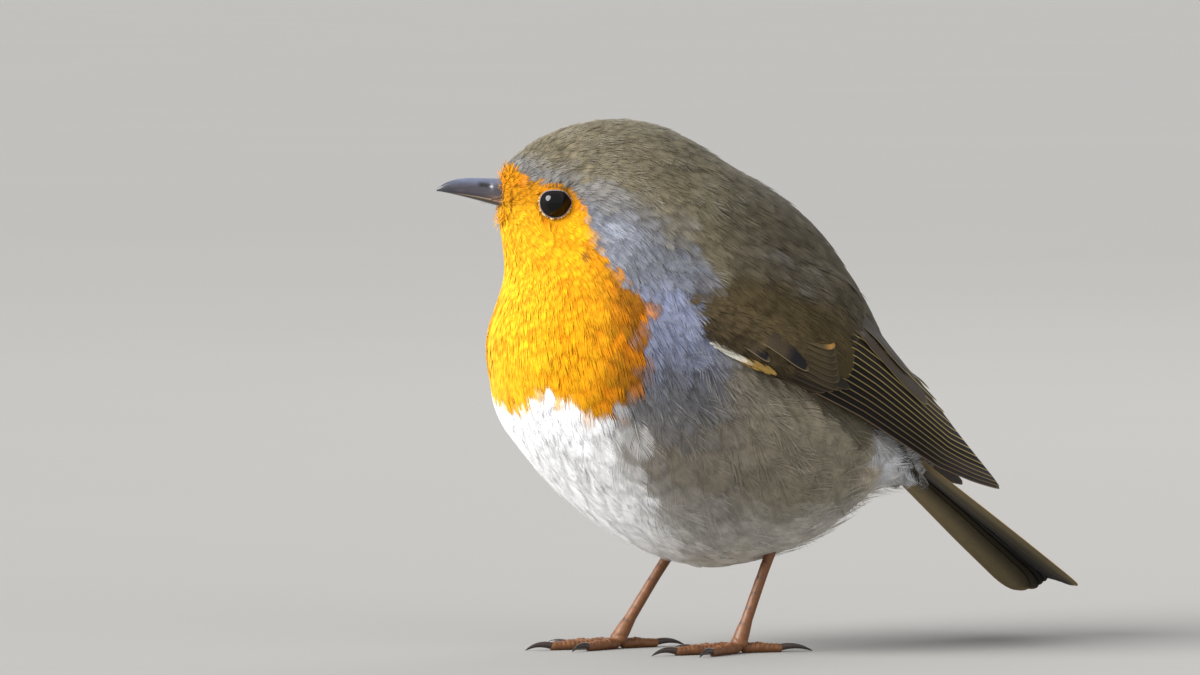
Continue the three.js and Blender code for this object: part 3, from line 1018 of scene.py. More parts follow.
@dataclass(frozen=True)
class Barbs:
    """How a feather's barbs are made: solid slivers, each pointed at both ends."""

    pairs: int
    width: float
    thick: float = 0.45  # as a share of the width
    rings: tuple[float, ...] = (0.5,)  # where a barb has corners along its length
    loose: float = 1.0  # how unevenly the barbs lie
    tone: float = 0.07  # how much they vary in lightness
    spine: float = 0.56  # the share of the shaft that they leave from
    mess: float = 0.0  # how far the feather is a loose lock of strands
    curve: float = 0.4  # how round a barb is shaded

    def faces(self) -> Array:
        """Number one barb's triangles, which point outwards.

        Returns:
            Triangles, (m, 3).
        """
        rows: list[tuple[int, ...]] = []
        last = 1 + 3 * len(self.rings)
        for i in range(3):
            j = (i + 1) % 3
            rows.append((0, 1 + i, 1 + j))
            for k in range(len(self.rings) - 1):
                a, b, c, d = 1 + 3 * k + i, 1 + 3 * k + j, 4 + 3 * k + i, 4 + 3 * k + j
                rows += [(a, c, d), (a, d, b)]
            rows.append((last - 3 + i, last, last - 3 + j))
        return np.array(rows)

    def _spread(self, width: Array, rng: Rng) -> tuple[Array, Array, Array, Array]:
        """Draw how the barbs of each feather spread.

        Args:
            width: The feathers' widths, (n, 1).
            rng: The source of chance.

        Returns:
            Where each barb starts and ends along its feather, how far across it reaches, and its stray.
        """
        n, per = len(width), 2 * self.pairs
        order = (np.arange(per) // 2 + 0.5) / self.pairs
        side = np.where(np.arange(per) % 2, 1.0, -1.0)
        g = np.clip(order + rng.normal(0.0, 0.3 / self.pairs, (n, per)) * self.loose, 0.01, 0.995)
        chance = rng.normal(size=(4, n, per)) * self.loose
        root = 0.02 + self.spine * g
        end = 0.38 + 0.62 * np.sin(0.5 * math.pi * g) + 0.035 * chance[0]
        reach = side * 0.5 * width * np.cos(0.5 * math.pi * g) ** 0.8 * (1.0 + 0.1 * chance[1])
        reach = reach + 0.03 * width * chance[2]
        free = rng.random((3, n, per))
        root, end = mix(root, 0.3 * free[0], self.mess), mix(end, 0.62 + 0.38 * free[1], self.mess)
        reach = mix(reach, width * (free[2] - 0.5), self.mess)
        root[:, 0], end[:, 0], reach[:, 0] = 0.05, 0.96, 0.0
        return root, end, reach, chance[3]

    @staticmethod
    def _corners(stations: Array, rings: Array) -> Array:
        """Join every barb's root, its rings' corners and its tip, (n, barbs, corners, values)."""
        rings = rings.reshape(*stations.shape[:2], -1, stations.shape[-1])
        return np.concatenate([stations[:, :, :1], rings, stations[:, :, -1:]], axis=2)

    def lay(self, t: Tufts, rng: Rng, heap: Heap) -> None:
        """Add every barb of every feather to a heap.

        Args:
            t: The feathers.
            rng: The source of chance.
            heap: Where the slivers go.
        """
        n, per = len(t.roots), 2 * self.pairs
        length, width, depth, lift, bend = (t.size[:, i, None] for i in range(5))
        root, end, reach, stray = self._spread(width, rng)
        share = np.array([0.0, *self.rings, 1.0])
        along = root[..., None] + (end - root)[..., None] * share
        strand = 0.8 + 0.4 * share - 0.65 * share ** 2
        out = reach[..., None] * mix(1.0 - (1.0 - share) ** 1.45, strand, self.mess)
        rise = (-depth[..., None] * np.clip(1.0 - along, 0.0, 1.0) ** 1.35
                + (lift[..., None] + 0.004 * length[..., None] * stray[..., None] * share) * along ** 2
                - 0.025 * width[..., None] * (2.0 * out / width[..., None]) ** 2)
        place, up = self._on_surface(t, along, out, rise, bend)
        crest = up[:, :, 1:-1]
        beside = unit(np.cross(unit(place[:, :, 2:] - place[:, :, :-2]), crest))
        thin = self.width * (1.0 + 0.15 * rng.normal(size=(n, per, 1, 1)))
        half = 0.5 * thin * np.array([1.0 if ring <= 0.6 else 0.75 for ring in self.rings])[:, None]
        ring = place[:, :, 1:-1, None] + np.stack(
            [beside * half, crest * half * 2.0 * self.thick, -beside * half], axis=3)
        points = self._corners(place, ring)
        lie = self._corners(up, np.stack(
            [unit(crest + self.curve * beside), crest, unit(crest - self.curve * beside)], axis=3))
        shade = 1.0 + self.tone * rng.normal(size=(n, per, 1, 1))
        ground, bare, tip = (t.colours[i][:, None, None] for i in range(3))
        body = ground + (bare - ground) * np.clip((along[..., :-1, None] - 0.1) / 0.45, 0.0, 1.0)
        middle = np.repeat(body[:, :, 1:], 3, axis=2)
        at_tip = np.repeat(np.clip(share[1:-1, None] * 1.6 - 0.9, 0.0, 1.0), 3, axis=0)
        body = np.concatenate([body, np.broadcast_to(tip, (n, per, 1, 3))], axis=2)
        colour = self._corners(body, middle + (tip - middle) * at_tip * 0.8) * shade
        flat = np.stack([np.clip(out / width[..., None], -0.5, 0.5), np.clip(along, 0, 1) - 0.5], -1)
        spot = t.roots[:, None, None] + PATCH * self._corners(flat, np.repeat(flat[:, :, 1:-1], 3, axis=2))
        faces = self.faces()[None] + (np.arange(n * per) * points.shape[2])[:, None, None]
        heap.add(points.reshape(-1, 3), faces.reshape(-1, 3),
                 **{PLUMAGE: np.clip(colour, 0.0, 1.0).reshape(-1, 3), BAKE_MAP: spot.reshape(-1, 2),
                    LIE: lie.reshape(-1, 3)})

    @staticmethod
    def _on_surface(t: Tufts, along: Array, out: Array, rise: Array, bend: Array) -> tuple[Array, Array]:
        """Place points of each feather on the curved coat.

        Args:
            t: The feathers.
            along: Shares of their length.
            out: Distances across.
            rise: Heights over the surface.
            bend: How fast the surface falls away across.

        Returns:
            The points, and the surface's normals there.
        """
        s = along[..., None]
        weights = ((1.0 - s) * (1.0 - 2.0 * s), 4.0 * s * (1.0 - s), s * (2.0 * s - 1.0))
        slopes = (4.0 * s - 3.0, 4.0 - 8.0 * s, 4.0 * s - 1.0)
        spine, ahead = (sum(w * p[:, None, None] for w, p in zip(rule, t.stations))
                        for rule in (weights, slopes))
        a, b, c = (n[:, None, None] for n in t.normals)
        s = np.clip(s, 0.0, 1.0)
        up = unit(np.where(s < 0.5, a + (b - a) * 2.0 * s, b + (c - b) * (2.0 * s - 1.0)))
        across = unit(np.cross(unit(ahead), up))
        drop = rise - 0.5 * bend[..., None] * out ** 2
        return spine + across * out[..., None] + up * drop[..., None], up


@dataclass
class Coat:
    """The contour feathers of the whole bird."""

    outline: Outline
    head: Head
    markings: Markings
    wings: "dict[Side, Wing]"
    seed: int = 17
    length_by_reach: Table = ((0, 1.5), (4, 2.0), (10, 2.8), (18, 3.7), (28, 4.8), (40, 6.4), (60, 7.5))
    depth_by_length: Table = ((1.3, 0.18), (2.5, 0.22), (4.5, 0.27), (7.0, 0.33), (11.5, 0.42))
    gap_by_length: Table = ((1.5, 0.26), (4.0, 0.25), (7.0, 0.25), (11.0, 0.22))
    width_by_length: Table = ((1.5, 0.6), (3.5, 0.55), (6.0, 0.55), (11.0, 0.6))
    backward: Table = ((-52, 0.1), (-44, 0.25), (-30, 0.5), (-15, 0.75), (5, 0.95), (60, 1.0))
    downward: Table = ((-52, 1.0), (-44, 1.0), (-30, 0.85), (-15, 0.68), (5, 0.5), (60, 0.5))
    ANCHORS: ClassVar[dict[str, tuple[str, Sequence[float]]]] = {
        "crown": ("head", (-30, 3, 91)), "forehead": ("head", (-43, 6, 85)),
        "face_left": ("head", (-40, -6, 73)), "face_right": ("head", (-32, 17, 73)),
        "throat": ("neck", (-46, 6, 68)), "nape": ("neck", (-10, 0, 80)),
        "neck_left": ("neck", (-26, -18, 66)), "neck_right": ("neck", (-24, 19, 66)),
        "breast_left": ("body", (-43, -14, 52)), "breast_right": ("body", (-43, 14, 52)),
        "side_left": ("body", (-24, -27, 42)), "side_right": ("body", (-24, 27, 42)),
        "mantle": ("body", (8, 0, 72)), "shoulder_left": ("body", (-12, -27, 60)),
        "shoulder_right": ("body", (-12, 27, 60)), "flank_left": ("body", (2, -27, 34)),
        "flank_right": ("body", (2, 27, 34)), "belly": ("body", (-20, 0, 20)),
        "vent": ("body", (22, 0, 26)), "rump": ("body", (24, 0, 50))}

    def __post_init__(self) -> None:
        """Start the source of chance."""
        self.rng = np.random.default_rng(self.seed)

    # sizes

    def length(self, points: Array, regions: dict[str, Array]) -> Array:
        """Give the feather length at each point.

        Args:
            points: Places on the bird.
            regions: The plumage's regions there.

        Returns:
            One length for each.
        """
        bib, z = regions["bib"], points[..., 2]
        reach = np.linalg.norm(points - self.head.bill_root, axis=-1)
        fluffy = ramp(50.0, 38.0, z) * (1.0 - bib) * ramp(-52.0, -30.0, points[..., 0])
        end = ramp(17.0, 23.0, points[..., 0]) * ramp(34.0, 29.0, z)
        share = (1.0 + 0.55 * fluffy - 0.12 * bib * ramp(5.0, 25.0, reach)) * (1.0 - 0.45 * end)
        return read(self.length_by_reach, reach) * share

    def depth(self, length: Array, white: Array) -> Array:
        """Give the coat's depth over the skin for a feather length, less where it is smooth and white."""
        return read(self.depth_by_length, length) * (1.0 - 0.35 * white)

    def flow(self, points: Array, normals: Array) -> Array:
        """Find the lie of the coat: away from the bill, then down and back over the body.

        Args:
            points: Places on the coat, (n, 3).
            normals: The surface's normals there.

        Returns:
            Directions along the surface.
        """
        away = points - self.head.bill_root
        reach = np.linalg.norm(away, axis=-1)
        x, y = points[..., 0], points[..., 1]
        inward = -0.10 * np.sign(y) * ramp(0.0, 12.0, np.abs(y)) * (points[..., 2] < 45)
        body = np.stack([read(self.backward, x), inward, -read(self.downward, x)], -1)
        way = mix(unit(away), unit(body), ramp(12.0, 42.0, reach))
        for side in Side:
            off, _, beside = self.head.from_eye(points, side)
            near = hump(np.maximum(np.linalg.norm(off, axis=-1) - 2.6, 0.0) / 2.0)
            way = way + unit(beside) * (near * 1.3)[..., None]
        return unit(way - normals * np.sum(way * normals, -1, keepdims=True))

    # places

    def _clear(self, points: Array) -> Array:
        """Tell which roots stay clear of the eyes, the bill and the wings.

        Args:
            points: The roots, (n, 3).

        Returns:
            True for each that does.
        """
        over = points - self.head.bill_root
        clear = ~((over @ self.head.ahead > -0.6) & (np.abs(over @ self.head.left) < 1.9)
                  & (np.abs(over[:, 2]) < 2.2))
        for side in Side:
            off, lean, beside = self.head.from_eye(points, side)
            clear &= ~((np.linalg.norm(beside, axis=1) < 2.72) & (off[:, 2] < 2.15) & (lean > 0.0))
        for wing in self.wings.values():
            clear &= ~wing.hides(points)
        return clear

    @staticmethod
    def _thin(points: Array, spacing: Array) -> Array:
        """Keep a subset in which no two points are closer than their spacing.

        Args:
            points: Places, (n, 3).
            spacing: The least distance at each.

        Returns:
            The numbers of the points kept.
        """
        kept: list[int] = []
        grids: dict[int, dict] = {}
        level = np.round(np.log2(spacing) * 2.0).astype(int)
        steps = [(dx, dy, dz) for dx in (-1, 0, 1) for dy in (-1, 0, 1) for dz in (-1, 0, 1)]
        for i, (lev, spot, gap) in enumerate(zip(level.tolist(), points.tolist(), spacing.tolist())):
            cell = 2.0 ** (lev / 2.0) * 1.2
            grid = grids.setdefault(lev, {})
            x, y, z = spot
            cx, cy, cz = (int(v // cell) for v in spot)
            if not any((x - a) ** 2 + (y - b) ** 2 + (z - c) ** 2 < gap ** 2 for dx, dy, dz in steps
                       for a, b, c in grid.get((cx + dx, cy + dy, cz + dz), ())):
                grid.setdefault((cx, cy, cz), []).append(spot)
                kept.append(i)
        return np.array(kept)

    def tufts(self, points: Array, normals: Array, roots: Array, length: Array, wide: Array,
              sway: Array | float, lift: Array, pale: Array | float = 0.0) -> Tufts:
        """Lay feathers along the coat from given roots.

        Args:
            points: Roots on the outline.
            normals: Normals there.
            roots: Their places on the unwrap.
            length: Feather lengths.
            wide: Feather widths.
            sway: Spread of their directions in radians.
            lift: How far the tips stand off the outline.
            pale: How far the tips are bleached.

        Returns:
            The feathers.
        """
        way = self.flow(points, normals)
        turn = sway * (0.8 * self.rng.normal(size=len(points)) + 0.8 * ripple(points, 7.0, 21))
        way = way * np.cos(turn)[:, None] + np.cross(normals, way) * np.sin(turn)[:, None]
        half = (length / 2.0)[:, None]
        middle, up1, _ = self.outline.near(points + way * half)
        onward = unit(middle - points) * 0.65 + self.flow(middle, up1) * 0.35
        onward = unit(onward - up1 * np.sum(onward * up1, -1, keepdims=True))
        tip, up2, _ = self.outline.near(middle + onward * half)
        across = unit(np.cross(onward, up1))
        sag = np.zeros(len(points))
        for sign in (-1.0, 1.0):
            beside = self.outline.near(middle + across * sign * (wide / 2.0)[:, None])[0]
            sag += 0.5 * np.sum((middle - beside) * up1, -1)
        bend = np.clip(2.0 * sag / (wide / 2.0) ** 2, -0.02, 0.12)
        stray = 0.09 * length[:, None] * self.rng.normal(size=points.shape)
        shown, r = self.markings.colour(mix(middle, tip, 0.45) + stray, up1)
        upper, bib, white = r["upper"], r["bib"], r["white"]
        uneven = layered(0.03, (0.015, white), (0.11, upper), (0.2, r["ear"]))
        shown = shown * (1.0 + uneven[:, None] * self.rng.normal(size=(len(points), 1)))
        # The ground is each feather's darker base; in the bib it is also made deeper orange, painted shade for the
        # gaps between barbs.
        ground = shown * mix(0.84, 0.98, white)[:, None] * mix((1.0, 0.98, 0.96), (1.1, 0.78, 0.5), bib)
        tips = mix(shown * 1.12, (0.78, 0.76, 0.68), np.clip(pale + 0.10 * (1 - bib) * (1 - upper), 0, 1))
        facing = np.stack([normals, up1, up2])
        facing[..., 0] *= 1.0 - 0.7 * ramp(18.0, 22.0, points[:, 0]) * (1.0 - upper)
        size = np.stack([length, wide, self.depth(length, white), lift, bend], -1)
        return Tufts(np.stack([points, middle, tip]), unit(facing), size,
                     np.stack([ground, shown, tips]), roots)

    def _ruff(self) -> Tufts:
        """Lay spiky feathers that lean over the root of the bill.

        Returns:
            The feathers.
        """
        points, normals, roots = self.outline.scatter(60000, self.rng)
        off = points - self.head.bill_root
        close = (np.linalg.norm(off, axis=1) < 5.5) & (off @ self.head.ahead > -4.2)
        near = np.flatnonzero(self._clear(points) & close)
        near = near[self._thin(points[near], np.full(len(near), 0.42))]
        points, normals, roots, off = (rows[near] for rows in (points, normals, roots, off))
        above = ramp(0.0, 2.5, off[:, 2])
        way = unit(self.head.ahead * (0.75 - 0.35 * above)[:, None] + unit(off) * 0.6
                   + UP * (0.45 * above - 0.35 * (1.0 - above))[:, None]
                   + 0.16 * self.rng.normal(size=points.shape))
        length = (1.5 - 0.1 * above) * self.rng.uniform(0.7, 1.2, len(points))
        reach = length[:, None] * way
        back = -self.head.ahead * (0.12 * length * above)[:, None]
        shown, _ = self.markings.colour(points, normals)
        return Tufts(np.stack([points - 0.2 * reach, points + 0.5 * reach, points + reach + back]),
                     np.stack([normals] * 3), sizes(length, 0.35, 0.0, 0.0, 0.0),
                     np.stack([shown * (0.9, 0.6, 0.5), shown, shown * 1.1]), roots)

    def _brow(self, skin: "Skin") -> Tufts:
        """Lay rows of tiny feathers on the lids, spreading from the eyes.

        Args:
            skin: The skin, which has the lids.

        Returns:
            The feathers.
        """
        rows = []
        for side in Side:
            aim = self.head.aim(side)
            for out in (0.34, 0.5, 0.7, 0.95, 1.25, 1.6):
                rim = skin.lid_rim(side, 70, out)
                away = unit(rim - aim * np.sum(rim * aim, -1, keepdims=True))
                rows.append((self.head.eyes[side] + rim * (self.head.radius(side) + 0.10), away,
                             np.broadcast_to(unit(rim * 0.5 + aim), rim.shape)))
        points, away, normals = (np.concatenate(part) for part in zip(*rows))
        way = unit(away + 0.35 * self.flow(points, normals) + 0.2 * self.rng.normal(size=points.shape))
        way = unit(way - normals * np.sum(way * normals, -1, keepdims=True) * 0.8)
        length = self.rng.uniform(0.7, 1.15, len(points))
        shown, _ = self.markings.colour(points, normals)
        reach = length[:, None] * way
        roots = self.outline.scatter(len(points), self.rng)[2]
        middle, tip = points + 0.5 * reach + 0.12 * normals, points + reach + 0.1 * normals
        return Tufts(np.stack([points, middle, tip]), np.stack([normals] * 3),
                     sizes(length, 0.45, 0.05, 0.0, 0.0),
                     np.stack([shown * 0.85, shown, shown * 1.08]), roots)

    def _loose(self, points: Array, normals: Array, roots: Array, length: Array, wide: Array,
               regions: dict[str, Array]) -> Tufts:
        """Choose roots for a second, ruffled layer on belly, crown and ears, and lay it.

        Args:
            points: Roots of the main coat.
            normals: Normals there.
            roots: Their places on the unwrap.
            length: Feather lengths.
            wide: Feather widths.
            regions: The plumage's regions there.

        Returns:
            The ruffled feathers.
        """
        wisps = ramp(-12.0, 4.0, points[:, 0]) * ramp(34.0, 26.0, points[:, 2])
        crown, ear = regions["upper"] * ramp(77.0, 84.0, points[:, 2]), regions["ear"]
        silky = np.maximum(regions["upper"], regions["bib"]) > 0.5
        share = (0.16 * ramp(5.5, 8.0, length) + 0.18 * wisps + 0.12 * ramp(0.2, 0.5, ear)) * ~silky
        share = share + 0.26 * crown
        chosen = (self.rng.random(len(points)) < share) & (regions["wing"] < 0.2)
        points, normals, roots, length, wide, wisps, crown, ear = (
            rows[chosen] for rows in (points, normals, roots, length, wide, wisps, crown, ear))
        return self.tufts(points, normals, roots, length * 1.2, wide * 1.3, 0.5 - 0.3 * crown,
                          (0.05 + 0.10 * wisps) * length, 0.45 - 0.4 * ear - 0.2 * crown)

    def grow(self, material: Material, skin: "Skin") -> None:
        """Make the coat's pieces.

        Args:
            material: The finish.
            skin: The skin, which has the lids.
        """
        points, normals, roots = self.outline.scatter(90000, self.rng)
        keep = self._clear(points)
        points, normals, roots = points[keep], normals[keep], roots[keep]
        length = self.length(points, self.markings.regions(points, normals))
        kept = self._thin(points, length * read(self.gap_by_length, length))
        points, normals, roots, length = points[kept], normals[kept], roots[kept], length[kept]
        length = length * (1.0 + 0.1 * self.rng.normal(size=len(length))).clip(0.75, 1.3)
        wide = length * read(self.width_by_length, length)
        lift = 0.003 * length * (1.0 + np.abs(self.rng.normal(size=len(length))))
        coat = self.tufts(points, normals, roots, length, wide, 0.10, lift)
        regions = self.markings.regions(points, normals)
        silky = np.maximum(regions["upper"], regions["bib"]) > 0.5
        loose = self._loose(points, normals, roots, length, wide, regions)
        ruff, brow = self._ruff(), self._brow(skin)
        short, small, long = length < 3.2, length < 5.0, length >= 8.5
        kinds = (
            (brow, True, Barbs(3, 0.07, mess=0.6)),
            (ruff, True, Barbs(4, 0.09, mess=0.5)),
            (coat, short, Barbs(9, 0.08, mess=0.8)),
            (coat, small & ~short, Barbs(12, 0.095, mess=0.8)),
            (coat, ~small & silky, Barbs(19, 0.105, mess=0.75)),
            (coat, ~(small | long | silky), Barbs(28, 0.105, loose=0.4, spine=0.7, mess=0.2)),
            (coat, long & ~silky, Barbs(34, 0.13, rings=(0.35, 0.75), loose=0.3, spine=0.72)),
            (loose, True, Barbs(7, 0.11, tone=0.12)))
        anchors = np.array([place for _, place in self.ANCHORS.values()], float)
        heaps = {name: Heap() for name in self.ANCHORS}
        for tufts, fits, barbs in kinds:
            home = np.argmin(np.linalg.norm(tufts.stations[0][:, None] - anchors[None], axis=-1), axis=1)
            for number, heap in enumerate(heaps.values()):
                chosen = fits & (home == number)
                if chosen.any():
                    barbs.lay(tufts.pick(chosen), self.rng, heap)
        for name, heap in heaps.items():
            settle(heap.build(f"coat_{name}", material, (BAKE_MAP,)), f"{self.ANCHORS[name][0]}_feathers")


@dataclass
class Skin:
    """The one skin under the coat, sunk by the coat's depth, with lids round the eyes."""

    outline: Outline
    head: Head
    markings: Markings
    coat: Coat
    fold: Table = (
        (0, -0.03), (-0.01, 0.06), (0.03, 0.11), (0.1, 0.14), (0.2, 0.14), (0.45, 0.1), (0.8, 0.1),
        (1.2, 0.08), (1.6, -0.05), (2, -0.3), (1.6, -0.5), (0.8, -0.35), (0.15, -0.2))
    opening: float = 2.46
    upper_lid: float = 2.12
    softness: float = 2.6

    def lid_rim(self, side: Side, count: int = 72, out: float = 0.0) -> Array:
        """Trace the opening of the lids on the eyeball.

        Args:
            side: Which eye.
            count: Points round the opening.
            out: How much wider than the opening.

        Returns:
            Directions from the eye's middle, (count, 3).
        """
        aim = self.head.aim(side)
        ahead = unit(np.cross(aim, UP) * -side.value)
        turn = circle(count)
        wide = (self.opening + out) * np.cos(turn) - 0.25 * hump((turn - math.pi) / 0.3)
        tall = (self.opening + out) * np.sin(turn)
        soft = -self.softness
        capped = np.log(np.exp(soft * tall) + np.exp(soft * (self.upper_lid + out)) + 1e-9) / soft
        tall = np.where(tall > 0, capped, tall)
        depth = np.sqrt(np.maximum(self.head.radius(side) ** 2 - wide ** 2 - tall ** 2, 0.02))
        return unit(aim * depth[:, None] + ahead * wide[:, None] + UP * tall[:, None])

    def make(self, material: Material) -> None:
        """Build the skin.

        Args:
            material: The finish.
        """
        points, normals = self.outline.points.copy(), self.outline.normals
        colour, regions = self.markings.colour(points, normals)
        points -= normals * self.coat.depth(self.coat.length(points, regions), regions["white"])[:, None]
        for side in Side:
            off, tall, beside = self.head.from_eye(points, side)
            within = (tall > -1.5) & (np.linalg.norm(beside, axis=1) < self.opening + 0.9)
            points[within] = self.head.eyes[side] + unit(off[within]) * (self.head.radius(side) - 0.45)
        heap = Heap()
        heap.add(points, self.outline.faces, **{PLUMAGE: colour * mix(0.80, 0.94, regions["white"])[:, None]})
        for side in Side:
            self._lids(side, heap)
        settle(heap.build("skin", material), "body_feathers", "head", "neck", "trunk")

    def _lids(self, side: Side, heap: Heap) -> None:
        """Add the lids: a rolled edge on the eyeball, and a fold that runs out under the coat.

        Args:
            side: Which eye.
            heap: Where they go.
        """
        rim, aim, radius = self.lid_rim(side), self.head.aim(side), self.head.radius(side)
        out = np.cross(unit(np.roll(rim, -1, 0) - np.roll(rim, 1, 0)), rim)
        out = unit(out * np.sign(np.sum(out * (rim - aim), -1, keepdims=True)))
        away, over = np.array(self.fold, float).T
        spread = away / radius
        ring = self.head.eyes[side] + (rim[:, None] * np.cos(spread)[:, None] + out[:, None]
                                       * np.sin(spread)[:, None]) * (radius + over)[:, None]
        count, around = ring.shape[:2]
        k, j = np.meshgrid(np.arange(count) * around, np.arange(around), indexing="ij")
        k2, j2 = (k + around) % (count * around), (j + 1) % around
        flat = ring.reshape(-1, 3)
        quads = facing_out(flat, np.stack([k + j, k2 + j, k2 + j2, k + j2], -1).reshape(-1, 4))
        feathered, _ = self.markings.colour(flat, np.broadcast_to(aim, flat.shape))
        edge, far = (np.tile(ramp(*ends, away), count) for ends in ((0.0, 0.04), (0.08, 0.16)))
        heap.add(flat, np.concatenate([quads[:, [0, 1, 2]], quads[:, [0, 2, 3]]]),
                 **{PLUMAGE: mix(mix("26242a", "767b8c", edge), feathered * 0.8, far)})


@dataclass
class Eyes:
    """The eyeballs: a wet globe with a low cornea, dark iris and black pupil."""

    head: Head
    around: int = 48
    cornea: float = 0.16

    def make(self, material: Material) -> None:
        """Build both eyes.

        Args:
            material: The finish.
        """
        polar = np.concatenate([np.linspace(0.0, 0.9, 25), np.linspace(0.95, math.pi, 24)])
        iris = layered("020202", ("0c0705", ramp(0.50, 0.53, polar)), ("050403", ramp(0.78, 0.86, polar)))
        for side in Side:
            aim = self.head.aim(side)
            radius = self.head.radius(side) + self.cornea * ramp(0.75, 0.25, polar)
            path = aim * (radius * np.cos(polar))[:, None] + self.head.eyes[side]
            wide = np.maximum(radius * np.sin(polar), 0.004)
            settle(mesh_object(f"eyeball_{side}", *tube(path, wide, np.cross(aim, UP), self.around), material,
                               {PLUMAGE: np.repeat(iris, self.around, axis=0)}), "eye", f"eye_{side}")


# ---- quills


@dataclass(frozen=True)
class Sheet:
    """A curved surface that quills lie on, reached by distances along, across and over it."""

    corner: Array
    along: Array
    across: Array
    out: Array
    swell: Callable[[Array, Array], Array]

    def place(self, spots: Array, rise: Array | float) -> Array:
        """Find points from distances along and across, (..., 2), and heights over the sheet."""
        tall = self.swell(spots[..., 0], spots[..., 1]) + rise
        return (self.corner + spots[..., 0, None] * self.along + spots[..., 1, None] * self.across
                + tall[..., None] * self.out)

    def normal(self, spots: Array) -> Array:
        """Find the sheet's outward direction.

        Args:
            spots: Distances along and across, (..., 2).

        Returns:
            Directions, (..., 3).
        """
        gap = 0.25
        ahead = self.place(spots + (gap, 0.0), 0.0) - self.place(spots - (gap, 0.0), 0.0)
        beside = self.place(spots + (0.0, gap), 0.0) - self.place(spots - (0.0, gap), 0.0)
        way = unit(np.cross(ahead, beside))
        return way * np.sign(np.sum(way * self.out, -1, keepdims=True))


def rounded(a: Array, low: Array, high: Array, middle: Array, blunt: float,
            power: float = 2.4) -> tuple[Array, Array]:
    """Close a vane's two edges towards its tip.

    Args:
        a: Distances along the sheet, root to tip.
        low: One edge's distances across.
        high: The other edge's.
        middle: Where the tip lies.
        blunt: How long the rounding is.
        power: How square it is.

    Returns:
        The two edges' places on the sheet, each (n, 2).
    """
    tip = np.clip((a - a[-1] + blunt) / blunt, 0.0, 1.0)
    shrink = np.sqrt(1.0 - tip ** power * 0.995)
    return tuple(np.stack([a, middle + (edge - middle) * shrink], -1) for edge in (low, high))


